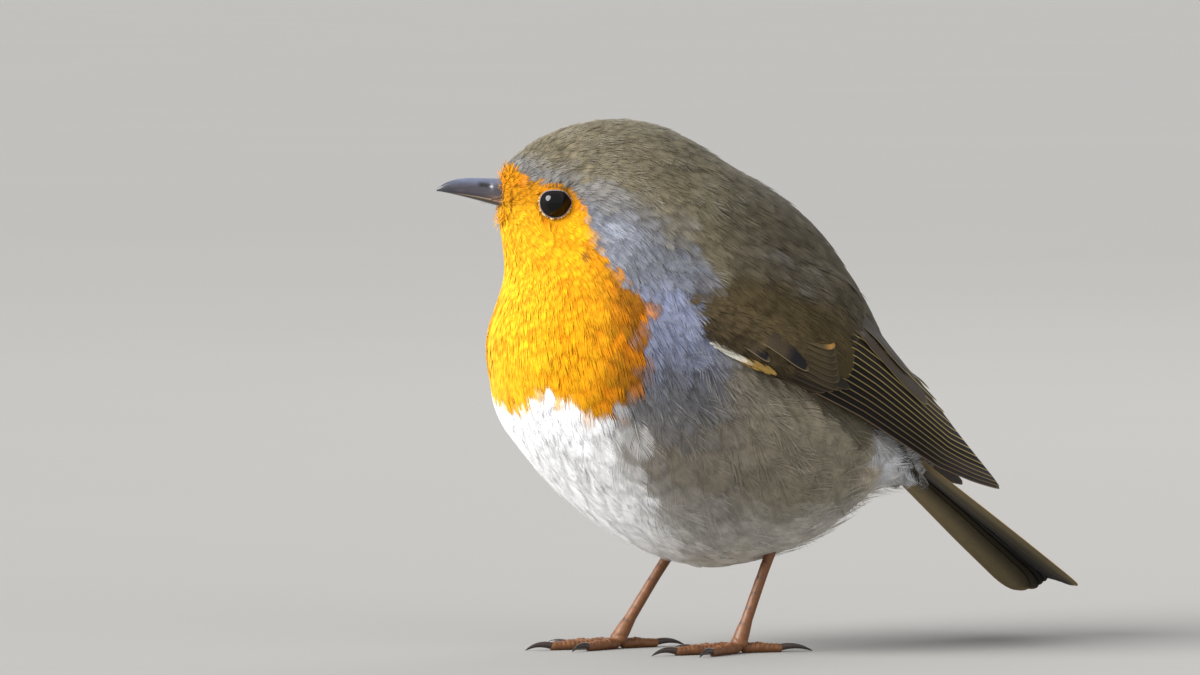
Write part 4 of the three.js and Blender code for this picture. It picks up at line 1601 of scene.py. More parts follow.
@dataclass
class Vanes:
    """Closed webs with raised shafts, gathered for one piece."""

    sheet: Sheet
    thick: float
    ridge: float  # how far a shaft stands up, on both faces
    shaft: float = 0.28  # where it lies, as a share of the width
    sink: Callable[[Array], Array | float] = lambda spot: 0.0  # how far places lie under other feathers
    dip: float = 1.3  # how far a leaf's root goes under the feathers ahead of it
    inner: float = 0.8  # the lightness of the inner edge, as a share of the outer edge's
    under: float = 0.0  # how far the lower face fades to grey
    strip: float = 1.0 / 48.0  # the width of a vane's strip on the bake map
    heap: Heap = field(default_factory=Heap)
    laid: int = 0

    def add(self, low: Array, high: Array, rise: Array | float, tilt: float, body: Array,
            fringe: Array) -> None:
        """Add one feather.

        Args:
            low: Places on the sheet along its outer edge, root to tip, (n, 2).
            high: The same along its inner edge.
            rise: Height over the sheet at the outer edge.
            tilt: How fast it sinks towards its inner edge.
            body: Its web's colour, or one for each station.
            fringe: Its outer edge's colour.
        """
        share = np.array([0.0, 0.09, self.shaft - 0.05, self.shaft, self.shaft + 0.05, 0.5, 0.75, 1.0])
        wide = np.linalg.norm(high - low, axis=1)
        spot = low[:, None] + (high - low)[:, None] * share[:, None]
        middle = (low + high) / 2.0
        run = np.concatenate([[0.0], np.cumsum(np.linalg.norm(np.diff(middle, axis=0), axis=1))])
        stem = (share == self.shaft) * self.ridge * np.clip(1.15 - run / run[-1], 0.1, 1.0)[:, None]
        over = np.broadcast_to(rise, len(low))[:, None] - tilt * wide[:, None] * share - self.sink(spot)
        ring = np.concatenate([self.sheet.place(spot, over + stem),
                               self.sheet.place(spot, over - self.thick - stem)[:, ::-1]], axis=1)
        rings, around = ring.shape[:2]
        there_and_back = np.concatenate([share, share[::-1]])
        out = there_and_back * wide[:, None]
        left = np.broadcast_to((run[-1] - run)[:, None], out.shape)
        strip = (self.laid + 0.92 * (np.arange(around) / around)) * self.strip
        bake = np.stack(np.broadcast_arrays(strip, 0.02 + 0.95 * (run / run[-1])[:, None]), -1)
        points = ring.reshape(-1, 3)
        dim = mix(1.0, self.inner, ramp(0.3, 0.85, there_and_back))
        body = np.broadcast_to(body, (rings, 3))[:, None] * dim[:, None]
        body = mix(body, "5a5550", np.broadcast_to(np.repeat([0.0, self.under], len(share)), (rings, around)))
        self.heap.add(points, facing_out(points, tube_faces(rings, around)),
                      **{PLUMAGE: body.reshape(-1, 3), FRINGE: fringe, BAKE_MAP: bake.reshape(-1, 2),
                         VANE_MAP: np.stack([out, left], -1).reshape(-1, 2)})
        self.laid += 1

    def leaf(self, root: Sequence[float], tip: Sequence[float], width: float, rise: float, tilt: float,
             body: Array, fringe: Array, bow: float = 0.0, blunt: float = 2.4) -> None:
        """Add a short feather, bowed to one side and rounded.

        Args:
            root: Where it starts on the sheet.
            tip: Where it ends.
            width: Its full width.
            rise: Height over the sheet at the outer edge.
            tilt: How fast it sinks towards its inner edge.
            body: Its web's colour, or one for each of 22 stations.
            fringe: Its outer edge's colour.
            bow: How far its middle stands off the straight.
            blunt: How square its tip is.
        """
        s = self.stations()
        root, tip = np.array(root, float), np.array(tip, float)
        way = unit(tip - root)
        side = np.array([-way[1], way[0]])
        line = root + (tip - root) * s[:, None] + side * (bow * 4.0 * s * (1.0 - s))[:, None]
        half = 0.5 * width * np.interp(s, (0.0, 0.3, 1.0), (0.35, 1.0, 1.0)) * (1.0 - s ** (blunt * 2)) ** 0.5
        half = np.maximum(half, 0.12)
        over = rise - self.dip * np.clip(1.0 - s / 0.45, 0.0, 1.0) ** 1.5
        self.add(line - side * half[:, None], line + side * half[:, None], over, tilt, body, fringe)

    @staticmethod
    def stations() -> Array:
        """Give a leaf's stations, close together at its ends."""
        return 0.5 - 0.5 * np.cos(np.linspace(0.0, math.pi, 22))

    def build(self, name: str, material: Material) -> bpy.types.Object:
        """Make the object."""
        return self.heap.build(name, material, (VANE_MAP, BAKE_MAP), self.strip)


@dataclass
class Wing:
    """One folded wing: lesser coverts in soft rows, then harder coverts and the quills."""

    side: Side
    root: Sequence[float] = (-26.68, 0.0, 62.6)
    tip: Sequence[float] = (41.72, 0.0, 26.9)
    upper: Table = (
        (-3, 0.6), (4, 9), (12, 13), (24, 15.6), (33, 13.9), (44, 10.3), (58, 6.2), (71, 2.2), (77, 0.4))
    lower: Table = ((-3, 0.1), (1.8, -2.3), (5.9, -5), (8.6, -6.2), (15.4, -7), (22, -5.7), (28, -4.8),
                    (40, -3.8), (62, -3), (77, -0.8))
    scapular: Table = ((-2, 0.8), (4, 1.4), (10, 1.9), (16, 2.1), (23, 2.8), (27, 4.6), (29, 7.5),
                       (31, 9.6), (38, 11), (46, 9.8), (50, 9), (56, 12))
    tips: Sequence[float] = (77, 76.8, 76, 75, 73.5, 72, 70, 68, 66, 64, 62, 60, 57.5, 55)
    tertials: Sequence[tuple[float, float, float]] = ((0.2, 54.0, 5.4), (0.5, 47.5, 2.7))  # inset, end, width
    edge_fans: int = 12
    lesser: Sequence[tuple[float, int, float]] = (  # distance along, how many, length
        (3.5, 3, 4.6), (5.7, 4, 5.2), (8, 5, 6), (10.5, 6, 7), (13, 7, 7), (15.5, 7, 7.5),
        (18, 8, 7.5), (20.5, 8, 8), (23, 8, 8))

    def __post_init__(self) -> None:
        """Fit the sheet to the outer face of the wing's two CAD solids."""
        root = np.array(self.root)
        self.along = unit(np.array(self.tip) - root)
        self.across = np.array([-self.along[2], 0.0, self.along[0]])
        cells: dict[tuple[int, int], tuple[float, float, float]] = {}
        for node in (f"wing_{self.side}", f"flight_{self.side}"):
            for v in frame["nodes"][node].data.vertices:
                p = np.array(v.co) / MM
                a, b = (p - root) @ self.along, (p - root) @ self.across
                key = (round(a / 1.5), round(b / 1.5))
                if key not in cells or abs(p[1]) > cells[key][2]:
                    cells[key] = (a, b, abs(p[1]))
        a, b, y = np.array(list(cells.values())).T
        self.fit = np.linalg.lstsq(self._powers(a, b), y, rcond=None)[0]
        self.sheet = Sheet(root, self.along, self.across, RIGHT * self.side.value, self.swell)

    @staticmethod
    def _powers(a: Array, b: Array) -> Array:
        """List the products of powers that the sheet is a sum of."""
        a, b = a / 40.0, b / 10.0
        return np.stack([a ** i * b ** j for i in range(5) for j in range(4) if i + j < 5], -1)

    def swell(self, a: Array, b: Array) -> Array:
        """Give the sheet's distance from the bird's middle plane."""
        return self._powers(a, b) @ self.fit

    def edges(self, a: Array) -> tuple[Array, Array]:
        """Give the wing's lower and upper edges at distances along it."""
        return read(self.lower, a), read(self.upper, a)

    def _measure(self, points: Array) -> tuple[Array, Array, Array, Array, Array]:
        """Measure points against the folded wing.

        Args:
            points: Places on the bird, (..., 3).

        Returns:
            Distances along and across it, its lower and upper edges there, and depths under its sheet.
        """
        off = points - np.array(self.root)
        a, b = off @ self.along, off @ self.across
        return a, b, *self.edges(a), self.swell(a, b) - self.side.value * points[..., 1]

    def owns(self, points: Array) -> Array:
        """Weigh how far points lie on the outside of this wing."""
        a, b, low, high, deep = self._measure(points)
        inside = np.minimum(b - low, high - b - 4.0)
        return ramp(-1.0, 4.0, inside) * ramp(4.0, 2.0, deep) * ramp(1.5, 4.5, a) * (a < 75)

    def shades(self, points: Array) -> Array:
        """Weigh the painted shadow that the wing casts on the flank, close under its lower edge."""
        a, b, low, _, deep = self._measure(points)
        under = ramp(-5.5, -0.5, b - low) * ramp(2.5, 0.5, b - low)
        return under * ramp(12.0, 24.0, a) * ramp(60.0, 48.0, a) * ramp(9.0, 5.0, deep)

    def hides(self, points: Array) -> Array:
        """Tell which roots on the body lie under this wing's rows of coverts and quills."""
        a, b, low, high, deep = self._measure(points)
        top = np.minimum(read(self.scapular, a), high - 0.8)
        return (b > low + 0.4) & (b < top) & (deep < 7.0) & (deep > -4.0) & (a > 3.0) & (a < 70.0)

    def sink(self, spot: Array) -> Array:
        """Sink the roots of quills and coverts under the feathers of the shoulder and back."""
        a, b = spot[..., 0], spot[..., 1]
        front = ramp(1.2, -0.6, b - self.edges(a)[0]) * ramp(30.0, 22.0, a)
        return 1.9 * ramp(-1.6, 1.2, b - read(self.scapular, a)) + 1.5 * front + 1.5 * ramp(6.5, 1.0, a)

    def make(self, vane: Material, feather: Material, outline: Outline) -> None:
        """Build the wing's pieces.

        Args:
            vane: The finish of quills and coverts.
            feather: The finish of soft feathers.
            outline: The body's outline, for the soft feathers' bake map.
        """
        self._quills(vane)
        self._coverts(vane)
        self._lesser(feather, outline)

    def _quills(self, material: Material) -> None:
        """Build the flight feathers, then the tertials over them.

        Args:
            material: The finish.
        """
        quills = Vanes(self.sheet, thick=0.07, ridge=0.03, sink=self.sink, under=0.6)
        tan = paint("7b6650")
        for i, end in enumerate(self.tips):
            a = 18.0 + (end - 18.0) * np.sin(np.linspace(0.0, 0.5 * math.pi, 34))
            low, high = self.edges(a)
            low = low + i * np.interp(a, (18, 33, 60, 77), (1.05, 1.12, 0.80, 0.55))
            high = np.maximum(np.minimum(low + 5.4, high + 0.4), low + 0.8)
            middle = low + (high - low) * np.interp(i, (0, 3, 6), (0.42, 0.55, 0.8))
            web = np.broadcast_to(mix("0d0a07", "352c22", np.clip((i - 6) / 8.0, 0.0, 1.0)), (len(a), 3))
            web = mix(web, "3d3a3a", ramp(end - 22.0, end - 6.0, a) * (0.75 if i < 4 else 0.2))
            fringe = tan if i == 0 else mix(tan * 0.7, "a8965f", np.clip(i / 7.0, 0.0, 1.0))
            quills.add(*rounded(a, low, high, middle, 8.0), 0.25, 0.19, web, fringe)
        for i, (inset, end, width) in enumerate(self.tertials):
            a = 20.0 + (end - 20.0) * np.sin(np.linspace(0.0, 0.5 * math.pi, 30))
            high = self.edges(a)[1] - inset
            low = high - width * np.interp(a, (20, 36, end), (1.0, 1.0, 0.6))
            # The second tertial's web is made a little greyer: painted sheen.
            quills.add(*rounded(a, low, high, low + (high - low) * 0.45, 7.0, 2.2),
                       0.55 + 0.1 * i, 0.14, mix("3f362a", "423d38", 0.6 * i), paint("7d7050"))
        settle(quills.build(f"quills_{self.side}", material), "flight_feathers", f"flight_{self.side}")

    def _coverts(self, material: Material) -> None:
        """Build the greater, primary and median coverts and the alula.

        Args:
            material: The finish.
        """
        rows = Vanes(self.sheet, thick=0.08, ridge=0.05, shaft=0.4, sink=self.sink)
        s = rows.stations()
        for i in range(5):
            rows.leaf((13.0 + i, -5.9 + 0.8 * i), (28.5 + 1.5 * i, -4.7 + 0.95 * i), 2.6,
                      0.42 + 0.09 * i, 0.10, mix("2e271d", "16120d", 0.3), paint("4a3e2d"), 0.3)
        for i in range(8):
            t = i / 7.0
            tip = np.array([32.4 - 5.2 * t, -1.6 + 6.4 * t])
            web = np.broadcast_to(mix("51462f", "2e271d", 0.55 - 0.45 * t), (len(s), 3))
            buff, share = ("a87a38", 0.8) if i > 5 else ("1b1712", 0.5)
            rows.leaf(tip - (14.5 - 2.0 * t, 0.2 + 0.8 * t), tip, 3.8, 0.74 + 0.06 * i, 0.13,
                      mix(web, buff, ramp(0.80, 0.97, s) * share), paint("5c4e36"), 0.35, 3.0)
        alula = mix(np.broadcast_to(paint("4a3e2f"), (len(s), 3)), "1d1b1d", ramp(0.60, 0.75, s))
        for root, tip, width, rise in (((8.5, -3.4), (17.0, -4.2), 2.2, 1.3),
                                       ((9.8, -0.7), (24.6, -2.2), 2.9, 1.4)):
            rows.leaf(root, tip, width, rise, 0.10, alula, paint("7a6a4f"), 0.5)
        settle(rows.build(f"coverts_{self.side}", material), "wing_feathers", f"wing_{self.side}")

    def _lesser(self, material: Material, outline: Outline) -> None:
        """Lay the lesser coverts: soft fans in rows from the bend of the wing back.

        Args:
            material: The finish.
            outline: The body's outline, for the bake map.
        """
        chance = np.random.default_rng(8)
        spots, rows = [], []
        for rank, (reach, count, length) in enumerate(self.lesser):
            low, top = self.edges(reach)[0], read(self.scapular, reach)
            b = mix(low + 0.4, top + 1.2, (np.arange(count) + 0.5 + 0.15 * chance.normal(size=count)) / count)
            tip = np.stack([reach + 0.5 * chance.normal(size=count) + 0.15 * (b - low), b], -1)
            root = tip + np.stack([np.full(count, -length), 0.25 * (1.0 - b)], -1)
            spots.append(np.stack([root, (root + tip) / 2.0, tip]))
            rows.append(np.full(count, float(rank)))
        reach = np.linspace(9.0, 19.5, self.edge_fans)
        low = self.edges(reach)[0]
        edge = np.stack([reach, low + 0.5 + 0.12 * chance.normal(size=self.edge_fans)], -1)
        spots.append(edge - np.array([[[5.0, -0.5]], [[2.5, -0.1]], [[0.0, 0.0]]]))
        rows.append(np.full(self.edge_fans, 1.0))
        spots, rank = np.concatenate(spots, axis=1), np.concatenate(rows)
        over = 1.45 - 0.07 * rank - self.sink(spots) - np.array([1.1, 0.05, 0.0])[:, None]
        stations = self.sheet.place(spots, over)
        length = np.linalg.norm(stations[2] - stations[0], axis=1)
        height = spots[2, :, 1] - self.edges(spots[2, :, 0])[0]
        web = mix("372e20", "5a4d35", np.clip(height / 7.0 + 0.2 * chance.normal(size=len(length)), 0.0, 1.0))
        web[-self.edge_fans:] = mix("cfcabb", "97793f", ramp(13.0, 15.5, reach))
        size = sizes(length, 0.48, 0.05, 0.01, 0.0) + (0.0, 0.0, 0.0, 0.0, 0.02)
        size[-self.edge_fans:, 1] /= 2.0
        tufts = Tufts(stations, self.sheet.normal(spots), size, np.stack([web * 0.7, web, web * 1.2]),
                      outline.near(stations[0])[2])
        heap = Heap()
        Barbs(26, 0.12, loose=0.35, spine=0.74, mess=0.12).lay(tufts, chance, heap)
        settle(heap.build(f"lesser_coverts_{self.side}", material, (BAKE_MAP,)), "wing_feathers")


@dataclass
class Tail:
    """Twelve tail feathers, the middle pair on top."""

    base: Sequence[float] = (15.42, 0.0, 41.0)
    pitch: float = math.radians(37.5)
    roll: float = math.radians(7.5)
    length: float = 52.0
    half: Table = ((0, 4.5), (15, 7.0), (35, 10.2), (50, 12.0), (52, 11.2))
    webs: Sequence[str] = ("2e261b", "2e261b", "2e261b", "2e261b", "5a4c35", "8d7d5a")

    @staticmethod
    def arch(a: Array, b: Array) -> Array:
        """Give the sheet's height over its middle line."""
        return -1.6 * (b / 12.0) ** 2

    def make(self, material: Material) -> None:
        """Build the feathers from the outermost pair inwards.

        Args:
            material: The finish.
        """
        along = BACK * math.cos(self.pitch) - UP * math.sin(self.pitch)
        up = BACK * math.sin(self.pitch) + UP * math.cos(self.pitch)
        across = up * math.sin(self.roll) - RIGHT * math.cos(self.roll)
        sheet = Sheet(np.array(self.base), along, across, unit(np.cross(across, along)), self.arch)
        vanes = Vanes(sheet, thick=0.1, ridge=0.16, shaft=0.34, inner=0.3)
        outermost = len(self.webs) - 1
        for rank in range(outermost, -1, -1):
            for side in Side:
                end = self.length - 2.5 + 0.5 * rank - (0.9 if rank == outermost else 0.0)
                a = end * np.sin(np.linspace(0.0, 0.5 * math.pi, 32))
                outer = read(self.half, a) * (rank + 0.9) / 5.9
                width = np.interp(a, (0, 10, 30, 52), (2.4, 5.0, 7.2, 8.0))
                web = paint(self.webs[rank])
                web = mix(np.broadcast_to(web, (len(a), 3)), web * 0.75, ramp(20.0, 50.0, a))
                edges = (side.value * across for across in (outer, outer - width, outer - width * 0.4))
                vanes.add(*rounded(a, *edges, 6.0), -0.13 * rank + 0.1, 0.02, web,
                          paint("ab874f" if rank == outermost else "6b5c3c"))
        settle(vanes.build("tail_feathers", material), "tail_feathers", "tail")


# ---- bill, legs and rows


@dataclass
class Bill:
    """Two slender horn sheaths with a nostril and a soft corner.

    Its tables start from the distance ahead of the eyes.
    """

    head: Head
    ridge: Table = ((5.1, 3.6), (9.4, 3.9), (14.0, 4.0), (17.7, 3.35), (19.7, 2.1))
    edge: Table = ((5.1, -0.9), (9.4, 0.3), (15.8, 1.35), (19.7, 1.85))
    keel: Table = ((5.1, -1.9), (9.4, -0.75), (14.0, 0.5), (17.5, 1.35), (19.3, 1.72), (19.7, 1.8))
    half: Table = ((5.1, 2.9), (9.4, 2.1), (12.1, 1.6), (16.1, 1.05), (18.6, 0.55), (19.7, 0.12))
    rings: int = 90
    around: int = 40

    @staticmethod
    def _curve(table: Table, a: Array) -> Array:
        """Read a smooth curve through a table."""
        x, y = np.array(table, float).T
        return np.poly1d(np.polyfit(x, y, min(4, len(x) - 1)))(a)

    def _half(self, upper: bool, a: Array, edge: Array, wide: Array) -> tuple[Array, Array, Array]:
        """Shape and paint one half.

        Args:
            upper: Which half.
            a: Distances ahead, (rings, 1).
            edge: The cutting edge's heights.
            wide: Half widths.

        Returns:
            Heights, distances to the left and colours round each ring.
        """
        sin, cos = np.sin(circle(self.around)), np.cos(circle(self.around))
        left, nose = wide * np.sign(cos) * np.abs(cos) ** 0.85, 0.0
        rim = self._curve(self.ridge if upper else self.keel, a)
        if upper:
            up = edge + np.where(sin > 0, (rim - edge) * np.abs(sin) ** 0.92, -0.10 * np.abs(sin))
            nose = (up - edge - (rim - edge) * 0.62 - 0.06 * (a - 11.4)) / 0.3
            nose = hump(((a - 11.4) / 1.05) ** 2, nose) * (np.abs(left) > 0.3 * wide)
        else:
            fall = np.where(sin > 0, (edge - rim - 0.02) * np.abs(sin) ** 0.9, -0.04 * np.abs(sin))
            up = edge - 0.02 - fall
        tall = np.clip((up - edge) / np.maximum(np.abs(rim - edge), 0.05), -1.0, 1.0)
        # On the upper half the top is lighter blue-grey: a painted highlight along the ridge.
        horn = (mix("332f35", "5a6074", ramp(0.45, 1.0, tall)) if upper
                else mix("8b7c66", "332c29", ramp(-0.1, -0.55, tall)))
        gape = 0.8 * hump((a - 8.6) / 1.6, (up - edge) / 0.45)
        # The nostril is painted near black: painted shade in its hollow.
        colour = layered(horn, ("1c1c22" if upper else "24242b", ramp(15.0, 19.6, a)), ("b08a74", gape),
                         ("15110f", np.clip(nose * 1.4, 0.0, 1.0)))
        return up, left * (1.0 - 0.42 * nose), colour

    def make(self, material: Material) -> None:
        """Build both halves.

        Args:
            material: The finish.
        """
        a = 5.1 + 14.6 * np.sin(np.linspace(0.0, 0.5 * math.pi, self.rings))[:, None]
        edge, wide = self._curve(self.edge, a), np.maximum(self._curve(self.half, a), 0.06)
        for name, share in (("bill_upper", 1.0), ("bill_lower", 0.93)):
            up, left, colour = self._half(name == "bill_upper", a, edge, wide * share)
            points = self.head.place(a, left, up).reshape(-1, 3)
            faces = facing_out(points, tube_faces(self.rings, self.around))
            settle(mesh_object(f"{name}_horn", points, faces, material, {PLUMAGE: colour.reshape(-1, 3)}),
                   "bill_horn", name)


@dataclass
class Legs:
    """Bare shanks and toes with overlapping scutes, and curved claws."""

    shank: float = 25.5
    ball: float = 1.5
    ANKLES: ClassVar[dict] = {Side.LEFT: ((-9.58, -9.3, 2.0), math.radians(22.0)),  # place, lean
                              Side.RIGHT: ((-23.68, 9.3, 2.0), math.radians(35.0))}
    TOES: ClassVar[dict] = {  # turn in degrees, length, claw's length
        "hind": (174, 7.8, 5.6), "inner": (-24, 8.6, 3.8), "middle": (4, 13.0, 4.4), "outer": (34, 9.8, 3.8)}

    @staticmethod
    def _limb(heap: Heap, path: Array, radii: Array, across: Array, scutes: int, front: float, deep: float,
              floor: bool = False) -> None:
        """Add a limb with overlapping plates, strongest on its front or upper side.

        Args:
            heap: Where it goes.
            path: Its middle line.
            radii: Its radius at each point.
            across: The way that its rings start from.
            scutes: How many plates.
            front: The turn that they face.
            deep: How far they stand up, as a share of the radius.
            floor: Whether its underside is pressed flat on the floor.
        """
        around = 20
        saw = (np.linspace(0.0, 1.0, len(path)) * scutes) % 1.0
        plate = np.where(saw < 0.85, saw / 0.85, (1.0 - saw) / 0.15)
        plates = 1.0 + deep * (plate[:, None] - 0.5) * ramp(-0.2, 0.6, np.cos(circle(around) - front))
        points, quads = tube(path, radii[:, None] * plates, across, around)
        groove = ramp(1.0 - 0.5 * deep, 1.0 - 0.2 * deep, plates)
        blotch = 0.4 * ramp(0.2, 0.9, ripple(points, 3.0, 9))
        colour = layered("4d2e1b", ("6d4425", groove.ravel()), ("7d5430", blotch))
        if floor:
            points[:, 2] = np.where(points[:, 2] < 0.12, 0.0, points[:, 2])
        heap.add(points, quads, **{PLUMAGE: colour})

    def make(self, skin: Material, horn: Material) -> None:
        """Build the shanks, feet and claws.

        Args:
            skin: The legs' finish.
            horn: The claws' finish.
        """
        for side, (ankle, lean) in self.ANKLES.items():
            ankle = np.array(ankle)
            up = BACK * math.sin(lean) + UP * math.cos(lean)
            s = np.linspace(0.0, 1.0, 150)
            bow = np.array([-up[2], 0.0, up[0]]) * (0.25 * np.sin(s * math.pi))[:, None]
            radii = np.interp(s, (0.0, 0.05, 0.16, 0.5, 0.85, 1.0), (1.35, 1.3, 0.98, 0.88, 1.0, 1.3))
            shank, feet = Heap(), Heap()
            path = ankle + up * (self.shank * s)[:, None] + bow
            self._limb(shank, path, radii, RIGHT, 9, math.pi / 2, 0.05)
            settle(shank.build(f"shank_{side}", skin), "leg_skin", f"tarsus_{side}")
            claws = [self._toe(feet, side, ankle, toe) for toe in self.TOES]
            path = ankle + UP * np.linspace(-1.5, 0.9, 26)[:, None]
            radii = self.ball * np.sqrt(1.002 - np.linspace(-1.0, 1.0, 26) ** 2)
            self._limb(feet, path, radii, RIGHT, 4, 0.0, 0.05)
            settle(feet.build(f"toes_{side}", skin), "leg_skin", f"foot_{side}")
            for toe, (tip, way) in zip(self.TOES, claws):
                self._claw(f"claw_{side}_{toe}", tip, way, self.TOES[toe][2], horn)

    def _toe(self, heap: Heap, side: Side, ankle: Array, toe: str) -> tuple[Array, Array]:
        """Add one toe, level on the floor.

        Args:
            heap: Where it goes.
            side: Which foot.
            ankle: The foot's ankle.
            toe: The toe's name.

        Returns:
            Where its claw starts, and the way that it points.
        """
        degrees, length, _ = self.TOES[toe]
        angle = math.radians(degrees)
        way = side.value * math.sin(angle) * RIGHT - math.cos(angle) * BACK
        s = np.linspace(0.0, 1.0, 110)
        knuckles = sum(hump((s - k) / 0.07) for k in ((0.45,) if toe == "hind" else (0.34, 0.68)))
        radii = np.interp(s, (0.0, 0.1, 0.92), (1.25, 0.95, 0.74)) + 0.10 * knuckles
        path = ankle * (1.0, 1.0, 0.0) + way * (length * s)[:, None]
        path[:, 2] = radii * 0.97 + 1.1 * np.clip(1.0 - s / 0.16, 0.0, 1.0) ** 2
        radii = radii * np.sqrt(1.0 - 0.96 * np.clip((s - 0.93) / 0.07, 0.0, 1.0) ** 2)
        beside = np.cross(UP, way)
        top = math.copysign(math.pi / 2, np.cross(unit(path[-1] - path[0]), beside)[2])
        self._limb(heap, path, radii, beside, int(length * 1.25), top, 0.16, floor=True)
        return path[-1], way

    @staticmethod
    def _claw(node: str, tip: Array, way: Array, length: float, horn: Material) -> None:
        """Build one claw, arched over and down to the floor.

        Args:
            node: The CAD node that it stands for.
            tip: The toe's end, which its root lies inside.
            way: The way that it points.
            length: How far it reaches.
            horn: The finish.
        """
        around = 16
        s = np.linspace(0.0, 1.0, 34)
        path = tip + way * (length * (s * 1.14 - 0.16))[:, None]
        radii = 0.58 * (1.0 - s ** 1.5) ** 0.8 + 0.04
        path[:, 2] = np.maximum(0.75 + 0.5 * np.sin(s * math.pi * 0.75) - 1.02 * s ** 2.2, radii + 0.01)
        settle(mesh_object(f"{node}_horn", *tube(path, radii, np.cross(UP, way), around), horn,
                           {PLUMAGE: mix("3a2a20", "171312", np.repeat(s, around))}), "claw_horn", node)


class Row(Graph):
    """A Geometry Nodes tree that sets a small solid on every point, then joins them."""

    SOCKETS = {"Points": "Geometry", "Grain": "Object", "Variation": "Float", "Seed": "Int",
               "Finish": "Material"}

    def __init__(self) -> None:
        """Build the tree once, with named inputs."""
        super().__init__(bpy.data.node_groups.new("grain_row", "GeometryNodeTree"))
        make = self.tree.interface.new_socket
        self.keys = {name: make(name, in_out="INPUT", socket_type=f"NodeSocket{kind}").identifier
                     for name, kind in self.SOCKETS.items()}
        make("Mesh", in_out="OUTPUT", socket_type="NodeSocketGeometry")
        given = {socket.name: Wire(self, socket) for socket in self.tree.nodes.new("NodeGroupInput").outputs}
        spots = self.node("GeometryNodeMeshToPoints", {}, {"Mesh": given["Points"]})
        turn = self.node("FunctionNodeAlignRotationToVector", {"axis": "Z"}, {"Vector": self._read("aim")})
        turn = self.node("FunctionNodeAlignRotationToVector", {"axis": "X", "pivot_axis": "Z"},
                         {"Rotation": turn, "Vector": self._read("along")})
        chance = self.node("FunctionNodeRandomValue", {}, {
            2: 1.0 - given["Variation"], 3: 1.0 + given["Variation"], "Seed": given["Seed"]}, 1)
        size = self.node("ShaderNodeVectorMath", {"operation": "SCALE"},
                         {0: self._read("size"), "Scale": chance})
        grain = self.node("GeometryNodeObjectInfo", {}, {"Object": given["Grain"]}, "Geometry")
        made = self.node("GeometryNodeInstanceOnPoints", {},
                         {"Points": spots, "Instance": grain, "Rotation": turn, "Scale": size})
        made = self.node("GeometryNodeRealizeInstances", {}, {"Geometry": made})
        made = self.node("GeometryNodeSetMaterial", {}, {"Geometry": made, "Material": given["Finish"]})
        self.node("NodeGroupOutput", {}, {0: made})

    def _read(self, name: str) -> Wire:
        """Read a vector kept on the points."""
        return self.node("GeometryNodeInputNamedAttribute", {"data_type": "FLOAT_VECTOR"}, {"Name": name})

    def lay(self, name: str, grain: tuple[Array, Array], colour: str, spots: Array, aim: Array, along: Array,
            size: Sequence[float], finish: Material, variation: float, seed: int) -> bpy.types.Object:
        """Set one grain on each point.

        Args:
            name: The object's name.
            grain: Points and quads of a solid about 1 mm across.
            colour: Its colour.
            spots: The places, (n, 3).
            aim: The way that the grain's Z axis looks at each.
            along: The way that its X axis leans.
            size: The size of each in three directions.
            finish: The material.
            variation: How far the sizes vary.
            seed: The seed for that.

        Returns:
            The joined object.
        """
        shade = np.broadcast_to(paint(colour), grain[0].shape)
        piece = mesh_object("grain", *grain, finish, {PLUMAGE: shade})
        base = mesh_object(name, spots, np.zeros((0, 3), int), finish)
        for key, values in (("aim", aim), ("along", along), ("size", size)):
            rows = np.broadcast_to(values, spots.shape).astype(np.float32)
            base.data.attributes.new(key, "FLOAT_VECTOR", "POINT").data.foreach_set("vector", rows.ravel())
        row = base.modifiers.new("Row", "NODES")
        row.node_group = self.tree
        for key, value in (("Grain", piece), ("Variation", variation), ("Seed", seed), ("Finish", finish)):
            row[self.keys[key]] = value
        bpy.context.view_layer.update()
        mesh = bpy.data.meshes.new_from_object(base.evaluated_get(bpy.context.evaluated_depsgraph_get()))
        base.modifiers.remove(row)
        base.data = mesh
        mesh.name = name
        bpy.data.objects.remove(piece)
        return base


